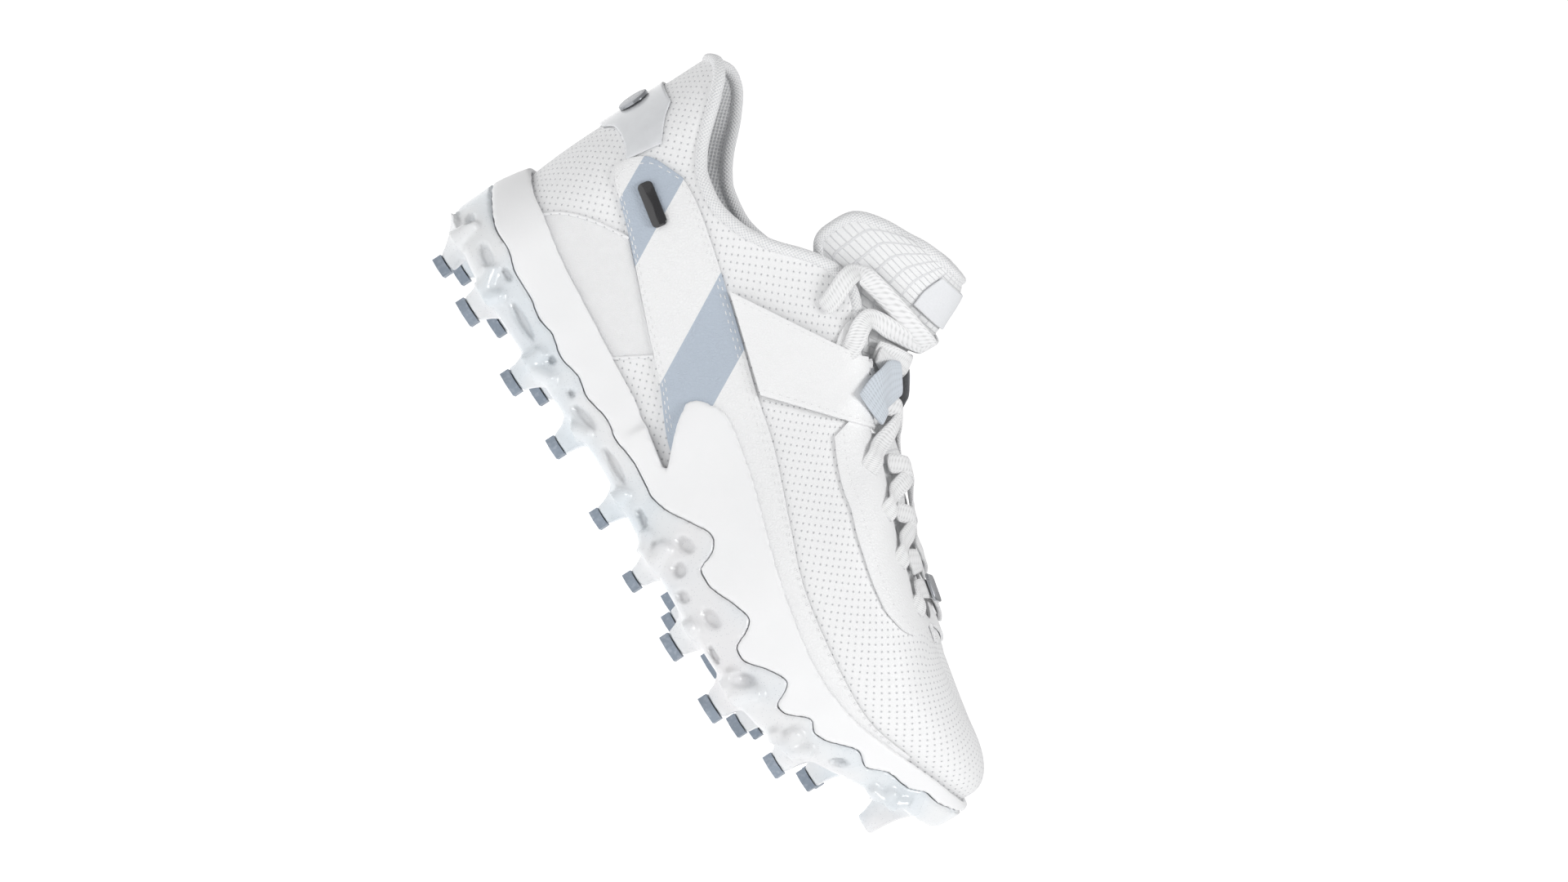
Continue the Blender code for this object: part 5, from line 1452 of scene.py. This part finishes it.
# overlays
overlay = {"thickness": 0.0009, "strap": 0.0014, "columns": 130, "rows": 26}
panelEdges = {
    "left": ((0.100, 0.532), (0.0885, 0.556), (0.0868, 0.585), (0.091, 0.625), (0.105, 0.668), (0.146, 0.712)),
    "top": (
        (0.146, 0.712), (0.200, 0.702), (0.322, 0.628), (0.433, 0.553), (0.505, 0.510), (0.605, 0.425),
        (0.655, 0.382), (0.706, 0.352), (0.800, 0.320), (0.860, 0.315), (0.915, 0.352),
    ),
    "bottomOuter": (
        (0.100, 0.532), (0.126, 0.512), (0.180, 0.470), (0.290, 0.370), (0.350, 0.318), (0.440, 0.232),
        (0.520, 0.270), (0.620, 0.265), (0.720, 0.240), (0.800, 0.222), (0.860, 0.240), (0.915, 0.290),
    ),
    "bottomInner": (
        (0.100, 0.532), (0.126, 0.512), (0.180, 0.455), (0.290, 0.340), (0.360, 0.262), (0.440, 0.262),
        (0.520, 0.270), (0.620, 0.265), (0.720, 0.240), (0.800, 0.222), (0.860, 0.240), (0.915, 0.290),
    ),
}


def panelPatch(side):
    edges = {name: edgeCurve(sidePairs(points), 120) for name, points in panelEdges.items()}
    bottom = edges["bottomOuter"] if side == outer else edges["bottomInner"]
    return between(bottom, edges["top"], edges["left"], [bottom[-1], edges["top"][-1]])


strapCorners = ((0.302, 0.650), (0.471, 0.892), (0.550, 0.800), (0.436, 0.562))


def strapPatch():
    a, b, c, d = (Vector((x, 0, z)) for x, z in sidePairs(strapCorners))
    # u runs up the strap from the sole to the laces, v from its heel edge to its toe edge
    return between([a, b], [d, c], [a, d], [b, c])


def heelStrapPlace(lift):
    tops = [(0.0, 0.800), (0.128, 0.800), (0.150, 0.770), (0.194, 0.712)]
    bottoms = [
        (0.0, 0.553), (0.070, 0.572), (0.105, 0.608), (0.135, 0.616), (0.157, 0.612), (0.190, 0.590),
    ]

    def place(u, v):
        side = outer if u < 0.5 else inner
        turn = abs(u - 0.5) * 2 * (0.186 + 0.008 * v)
        low, high = partZ(smoothValue(bottoms, turn)), partZ(smoothValue(tops, turn))
        return liftedPoint(side, turn, levelAt(side, turn, low + (high - low) * v, 1.0), lift)

    return place


eyestayEdge = (
    (0.524, 0.690), (0.565, 0.644), (0.606, 0.616), (0.658, 0.580), (0.709, 0.548), (0.745, 0.534),
    (0.770, 0.538), (0.791, 0.556), (0.804, 0.592),
)


def eyestayLow(side):  # level of its outer edge by share of the column
    found = []
    for x, z in sidePairs(eyestayEdge):
        turn, level = upperAt(side, x, z)
        found.append((shareAt(turn), level))
    found.sort()
    return [point for i, point in enumerate(found) if i == 0 or point[0] > found[i - 1][0] + 0.0005]


eyestayLevels = {side: eyestayLow(side) for side in (outer, inner)}
eyestay = {"start": 0.545, "end": 0.897, "round": 0.030, "top": 1.998, "seam": 0.13}


def eyestayPlace(side, lift):
    def place(u, v):
        share = eyestay["start"] + (eyestay["end"] - eyestay["start"]) * math.sin(u * math.pi / 2)
        bottom = smoothValue(eyestayLevels[side], share)
        left = eyestay["end"] - share
        if left < eyestay["round"]:  # its toe end rounds over the ridge
            bottom = 2 - (2 - bottom) * math.sqrt(max(1 - (1 - left / eyestay["round"]) ** 2, 0.0))
        level = bottom + (eyestay["top"] - bottom) * v
        return liftedPoint(side, turnAt(share), min(level, eyestay["top"]), lift)

    return place


stitchPaths = {"panel": [], "strap": [], "eyestay": []}
lift = form["gap"]
for side, word in sides:
    small = word.lower()
    patch = panelPatch(side)
    top, topStrap = lift + overlay["thickness"], lift + overlay["thickness"] + overlay["strap"]
    mesh = shapedGrid(overlay["columns"], overlay["rows"], onUpper(side, patch, lift))
    panel = newPiece(
        f"sidePanel{word}", mesh, [bandedLeather], [f"side_panel_{small}"],
    )
    strapSurface = strapPatch()
    mesh = shapedGrid(50, 26, onUpper(side, strapSurface, top))
    strap = newPiece(f"midfootStrap{word}", mesh, [strapGrain], [f"strap_{small}"])
    for piece, thickness in ((panel, overlay["thickness"]), (strap, overlay["strap"])):
        mesh = bmesh.new()
        mesh.from_mesh(piece.data)
        turnOut(mesh, max(mesh.faces, key=lambda face: abs(face.normal.y)), Vector((0, side, 0)))
        mesh.to_mesh(piece.data)
        mesh.free()
        thicken(piece, thickness)
    for v, reach, count in ((0.955, 0.95, 220), (0.905, 0.95, 220), (0.045, 0.38, 120), (0.095, 0.38, 120)):
        line = lambda t, v=v, reach=reach: (0.02 + reach * t, v)
        stitchPaths["panel"].append(patchLine(side, patch, line, top, count))
    stitchPaths["panel"].append(patchLine(side, patch, lambda t: (0.012, 0.06 + 0.88 * t), top, 60))
    for line in (
        lambda t: (0.03 + 0.94 * t, 0.06), lambda t: (0.03 + 0.94 * t, 0.94), lambda t: (0.97, 0.06 + 0.88 * t),
    ):
        stitchPaths["strap"].append(patchLine(side, strapSurface, line, topStrap, 70))
print("panels and straps done")

eyestayMesh = joined(*(shapedGrid(110, 22, eyestayPlace(side, lift)) for side in (outer, inner)))
bmesh.ops.remove_doubles(eyestayMesh, verts=eyestayMesh.verts, dist=0.00004)
bmesh.ops.recalc_face_normals(eyestayMesh, faces=eyestayMesh.faces)
if sum(face.normal.z for face in eyestayMesh.faces) < 0:
    bmesh.ops.reverse_faces(eyestayMesh, faces=eyestayMesh.faces)
eyestayPiece = newPiece("eyestayPanel", eyestayMesh, [panelLeather], ["eyestay"])
thicken(eyestayPiece, overlay["thickness"])
for side in (outer, inner):
    top, base = eyestayPlace(side, lift + overlay["thickness"]), eyestayPlace(side, 0.0)
    path = []
    for i in range(121):
        spot, foot = (place(0.01 + 0.985 * i / 120, eyestay["seam"]) for place in (top, base))
        path.append((spot, (spot - foot).normalized()))
    stitchPaths["eyestay"].append(path)

heelMesh = shapedGrid(70, 22, heelStrapPlace(lift))
bmesh.ops.remove_doubles(heelMesh, verts=heelMesh.verts, dist=0.00002)
if sum(face.normal.x for face in heelMesh.faces) > 0:
    bmesh.ops.reverse_faces(heelMesh, faces=heelMesh.faces)
heelPiece = newPiece("heelStrap", heelMesh, [glossPatch], ["heel_strap"])
thicken(heelPiece, overlay["thickness"])

# suede quarter between two piped seams, below the long panel
quarterCorners = {
    "bottom": ((0.082, 0.262), (0.150, 0.232), (0.220, 0.205), (0.276, 0.190)),
    "top": ((0.174, 0.474), (0.215, 0.437), (0.260, 0.397), (0.318, 0.346)),
    "left": ((0.082, 0.262), (0.098, 0.335), (0.128, 0.405), (0.174, 0.474)),
    "right": ((0.276, 0.190), (0.292, 0.240), (0.304, 0.290), (0.318, 0.346)),
}
quarterPatch = between(*(edgeCurve(sidePairs(points), 40) for points in quarterCorners.values()))
for side, word in sides:
    mesh = shapedGrid(44, 34, onUpper(side, quarterPatch, 0.00005))
    turnOut(mesh, max(mesh.faces, key=lambda face: abs(face.normal.y)), Vector((0, side, 0)))
    quarter = newPiece(f"heelQuarter{word}", mesh, [suede])
    addWall(quarter, 0.0003, 1.0)
    for number, u in enumerate((0.0, 1.0), 1):
        seam = evenPath([onUpper(side, quarterPatch, 0.0003)(u, i / 24) for i in range(25)], 60)
        place = lambda t, v: tubePoint(seam, t, math.tau * v, (0.0006, 0.00075), Vector((0, side, 0)))
        piping = capped(welded(shapedGrid(60, 10, place)))
        newPiece(f"piping{word}{number}", piping, [upperLeather])
print("heel quarter done")

stitches("panelStitches", stitchPaths["panel"], pitch=0.0028, width=0.00036)
stitches("strapStitches", stitchPaths["strap"])
stitches("eyestayStitches", stitchPaths["eyestay"])

# laces
lace = {
    "width": 0.0064, "thickness": 0.0013, "lift": 0.0018, "dip": 0.0026, "dipInset": 0.12, "brow": 0.0031,
    "crown": 0.0028, "shift": 0.029, "overTongue": 0.0018, "strappedEyelet": 2, "over": 0.0009,
    "under": -0.0003,
}
climbs = (
    ((-0.36, 0.27), (0.0, 0.34), (0.34, 0.38), (0.64, 0.42)),
    ((-0.40, 0.03), (0.0, 0.08), (0.30, 0.09), (0.58, 0.08)),
)


def flatStrip(path, thickness, sections=64, around=16):
    # path holds (point, direction the width follows, width); its edges are round
    points = [point for point, _, _ in path]
    flats = [flat for _, flat, _ in path]
    widths = [Vector((width, 0, 0)) for _, _, width in path]

    def place(u, v):
        spot, flat, width = alongPath(points, u), alongPath(flats, u), alongPath(widths, u).x
        step = 0.01
        along = (alongPath(points, u + step) - alongPath(points, u - step)).normalized()
        across = (flat - along * flat.dot(along)).normalized()
        out = across.cross(along).normalized()
        angle = math.tau * v
        c, s = math.cos(angle), math.sin(angle)
        size = max(endSize(u, 26), 0.02)
        return (
            spot + across * math.copysign(abs(c) ** 0.6, c) * width / 2 * size
            + out * math.copysign(abs(s) ** 0.75, s) * thickness / 2 * size
        )

    return capped(welded(shapedGrid(sections, around, place), 0.00001))


def laceOver(side, number):
    turn = turnAt(eyelets[number])
    edge, flat = topPoint(side, turn), heelward(eyelets[number])
    eyelet, out, _ = eyeletPoint(side, eyelets[number])
    below, belowOut, _ = eyeletPoint(side, eyelets[number], form["eyeletInset"] + 0.0042)
    points = [below + belowOut * 0.0009, eyelet + out * (lace["lift"] + lace["thickness"] / 2)]
    if eyelets[number] > form["collarEnd"]:
        points.append(edge.lerp(eyelet, 0.25) + (out + up).normalized() * lace["brow"])
    else:
        centre = raised(edge - Vector((0, side, 0)) * form["wall"] / 2, edge.z - form["collarRoll"] / 2)
        for angle in (0.3, 1.35):
            around = Vector((0, side * math.cos(angle), math.sin(angle)))
            points.append(centre + around * (form["collarRoll"] / 2 + lace["brow"]))
    return [(point, flat, lace["width"]) for point in points]


def laceUnder(side, number, moved):
    share = eyelets[number] + moved
    edge = topPoint(side, turnAt(share))
    place = edge.lerp(topMiddle(share), lace["dipInset"])
    return [(raised(place, edge.z + lace["dip"]), heelward(share), lace["width"])]


last = len(eyelets) - 1
for number in range(last):
    runs = []
    for side in (outer, inner):
        hidden = number + 1 in (lace["strappedEyelet"], last)
        start = laceUnder(side, number + 1, -lace["shift"]) if hidden else laceOver(side, number + 1)
        finish = laceOver(-side, number) if number == 0 else laceUnder(-side, number, lace["shift"])
        if number < len(climbs):
            lifted = lace["thickness"] / 2 + lace["overTongue"]
            middle = [
                (tongueFront(across * -side, high, lifted), tongueRise(high), lace["width"])
                for across, high in climbs[number]
            ]
            finish = finish if number == 0 else []
        else:
            flat = heelward((eyelets[number] + eyelets[number + 1]) / 2)
            middle = []
            for part in (0.33, 0.67):
                spot = start[-1][0].lerp(finish[-1][0], part)
                spot.z = max(spot.z, tongueHeightAt(spot) + lace["crown"])
                # one run rides over the other
                spot.z += lace["over"] if (side == outer) == (part < 0.5) else lace["under"]
                middle.append((spot, flat, lace["width"]))
        runs.append(flatStrip(start + middle + list(reversed(finish)), lace["thickness"]))
    replaced = f"lace_cross_{number + 1}"
    newPiece(f"laceCross{number + 1}", joined(*runs), [laceWeave], [replaced])

outsideEnd, insideEnd = laceOver(outer, last), laceOver(inner, last)
barMiddle = (outsideEnd[-1][0] + insideEnd[-1][0]) / 2 + up * lace["thickness"]
bar = outsideEnd + [(barMiddle, heelward(eyelets[last]), lace["width"])] + list(reversed(insideEnd))
newPiece("laceBar", flatStrip(bar, lace["thickness"]), [laceWeave], ["lace_bar"])

# webbing ends of the straps, over the laces
strapEnd = {"share": 0.556, "width": 0.0150, "rise": 0.0105}
# the inner end's near-black webbing is painted shade
for side, word, finish in ((outer, "Outer", paleWebbing), (inner, "Inner", shadowedWebbing)):
    edge, middle = topPoint(side, turnAt(strapEnd["share"])), topMiddle(strapEnd["share"])
    below, out, _ = eyeletPoint(side, strapEnd["share"])
    raisedBy = overlay["strap"] * 2 + 3 * form["gap"]
    brow = (out + up).normalized() * (raisedBy + overlay["strap"])
    path = [
        (point, heelward(strapEnd["share"]), strapEnd["width"] * part)
        for point, part in (
            (below + out * raisedBy, 1.0), (edge.lerp(below, 0.2) + brow, 1.0),
            (edge.lerp(middle, 0.22) + up * strapEnd["rise"] * 0.7, 0.95),
            (edge.lerp(middle, 0.55) + up * strapEnd["rise"], 0.70),
        )
    ]
    newPiece(
        f"webbingEnd{word}", flatStrip(path, overlay["strap"], 40, 16), [finish],
        [f"strap_end_{word.lower()}"],
    )
print("laces done")

# eyelets: a worn ring at each one, and a round tab at the second from the ankle
ring = {"hole": 0.0019, "wire": 0.00045, "tab": 0.0072}
rings = bmesh.new()
for side in (outer, inner):
    for number, share in enumerate(eyelets):
        if number == lace["strappedEyelet"]:
            continue
        spot, out, _ = eyeletPoint(side, share)
        across = out.cross(up).normalized()
        upward = out.cross(across)
        turnedRing = Matrix((across, upward, out)).transposed().to_4x4()
        placed = Matrix.Translation((ring["hole"] + ring["wire"], 0, 0)) @ Matrix.Rotation(math.pi / 2, 4, "X")
        made = bmesh.ops.create_circle(rings, segments=8, radius=ring["wire"], matrix=placed)
        wire = {edge for vert in made["verts"] for edge in vert.link_edges}
        bmesh.ops.spin(
            rings, geom=list(made["verts"]) + list(wire), cent=(0, 0, 0), axis=(0, 0, 1), angle=math.tau,
            steps=18, use_merge=True,
        )
        loose = [vert for vert in rings.verts if not vert.tag]
        bmesh.ops.transform(
            rings, verts=loose,
            matrix=Matrix.Translation(spot + out * (form["gap"] + overlay["thickness"])) @ turnedRing,
        )
        for vert in loose:
            vert.tag = True
newPiece("eyeletRings", welded(rings, 0.00001), [strapGrain])


def tabPlace(side):
    share = eyelets[1]
    _, _, level = eyeletPoint(side, share)
    turn = turnAt(share)
    centre = upperPoint(side, turn, level)
    alongTurn = (upperPoint(side, turn + 0.01, level) - centre).length / 0.01
    alongLevel = (upperPoint(side, turn, level - 0.05) - centre).length / 0.05

    def place(u, v):
        angle, reach = math.tau * u, ring["tab"] * v
        return liftedPoint(
            side, turn + math.cos(angle) * reach / alongTurn,
            min(level + math.sin(angle) * reach / alongLevel, 1.99), form["gap"],
        )

    return place


for side, word in sides:
    mesh = shapedGrid(40, 9, tabPlace(side))
    bmesh.ops.remove_doubles(mesh, verts=mesh.verts, dist=0.00001)
    turnOut(mesh, max(mesh.faces, key=lambda face: face.calc_area()), Vector((0, side, 0)))
    thicken(newPiece(f"eyeletTab{word}", mesh, [panelLeather]), 0.0007, 0.0003)


# small metal and gloss trim
def roundedPlate(name, base, along, across, halfSizes, thickness, corner, material, node):
    normal = along.cross(across).normalized()
    mesh = bmesh.new()
    bmesh.ops.create_cube(mesh, size=1.0)
    bmesh.ops.scale(mesh, vec=(halfSizes[0] * 2, halfSizes[1] * 2, thickness), verts=mesh.verts)
    upright = [
        edge for edge in mesh.edges if abs((edge.verts[0].co - edge.verts[1].co).normalized().z) > 0.9
    ]
    bmesh.ops.bevel(
        mesh, geom=upright, offset=corner, segments=6, profile=0.5, affect="EDGES", material=-1,
        clamp_overlap=True,
    )
    flatEdges = [
        edge for edge in mesh.edges
        if edge.verts[0].co.z > 0 and edge.verts[1].co.z > 0 and len(edge.link_faces) == 2
        and abs(edge.link_faces[0].normal.dot(edge.link_faces[1].normal)) < 0.5
    ]
    bmesh.ops.bevel(
        mesh, geom=flatEdges, offset=thickness * 0.45, segments=3, profile=0.5, affect="EDGES", material=-1,
        clamp_overlap=True,
    )
    turned = Matrix((along, across, normal)).transposed().to_4x4()
    placed = Matrix.Translation(base + normal * thickness / 2) @ turned
    bmesh.ops.transform(mesh, matrix=placed, verts=mesh.verts)
    piece = newPiece(name, mesh, [material], [node])
    piece.data.set_sharp_from_angle(angle=math.radians(50))


plateLift = overlay["thickness"] + 2 * form["gap"]
keeperUp = Vector((0, 1, 0)).cross(heelward(eyelets[last]))
roundedPlate(
    "laceKeeper", barMiddle + keeperUp * (lace["thickness"] / 2 + form["gap"]), Vector((0, 1, 0)),
    heelward(eyelets[last]), (0.0065, 0.0045), 0.0010, 0.0018, keeperMetal, "lace_keeper",
)
turn, level = upperAt(outer, shareX(0.155), partZ(0.590))
normal = upperNormal(outer, turn, level)
along = (upperPoint(outer, turn + 0.004, level) - upperPoint(outer, turn, level)).normalized()
roundedPlate(
    "sideBar", upperPoint(outer, turn, level) + normal * plateLift, along, normal.cross(along).normalized(),
    (0.0075, 0.0025), 0.0010, 0.0016, blackGloss, "side_stud",
)
turn, level = 0.055, 1.38
normal = upperNormal(outer, turn, level)
across = normal.cross(up).normalized()
roundedPlate(
    "heelBadge", upperPoint(outer, turn, level) + normal * plateLift, across,
    normal.cross(across).normalized(), (0.0052, 0.0052), 0.0010, 0.0051, badgeMetal,
    "heel_badge",
)
print("trim done")

# floor and light
floorMesh = bmesh.new()
bmesh.ops.create_circle(floorMesh, cap_ends=True, segments=96, radius=9.0)
floor = meshObject("floor", floorMesh)
material, tree, shader, where = newFinish("paleFloor", (0.5, 0.5, 0.5), 0.8)
shader.inputs["Emission Color"].default_value = (1, 1, 1, 1)
shader.inputs["Emission Strength"].default_value = 0.8
haze = mix(tree, noise(tree, where["Object"], 3.0, 2.0), (0.48, 0.48, 0.48), (0.52, 0.52, 0.52))
tree.links.new(haze, shader.inputs["Base Color"])
floor.data.materials.append(material)

world = bpy.data.worlds.new("studio")
bpy.context.scene.world = world
world.use_nodes = True
tree = world.node_tree
tree.nodes.clear()
glow = addNode(tree, "ShaderNodeBackground", {"Color": (1, 1, 1, 1), "Strength": 0.42})
plain = addNode(tree, "ShaderNodeBackground", {"Color": (1, 1, 1, 1), "Strength": 1.05})
ray = addNode(tree, "ShaderNodeLightPath")
both = addNode(
    tree, "ShaderNodeMixShader", {0: ray.outputs["Is Camera Ray"], 1: glow.outputs[0], 2: plain.outputs[0]}
)
tree.links.new(both.outputs[0], addNode(tree, "ShaderNodeOutputWorld").inputs["Surface"])

lights = {  # place, power in watts, size
    "key": ((0.95, -0.85, 1.55), 18.5, 0.8),
    "side": ((-1.3, -1.7, 0.7), 2.0, 1.6),
    "backSoft": ((-0.4, 1.6, 1.2), 3.0, 1.5),
}
for name, (place, power, size) in lights.items():
    lamp = bpy.data.lights.new(name, "AREA")
    lamp.energy, lamp.size, lamp.shape = power, size, "DISK"
    lampObject = bpy.data.objects.new(name, lamp)
    lampObject.location = place
    lampObject.rotation_euler = (Vector((0, 0, 0.06)) - Vector(place)).to_track_quat("-Z", "Y").to_euler()
    bpy.context.collection.objects.link(lampObject)
bpy.context.scene.view_settings.view_transform = "Standard"
print("floor and lights done")
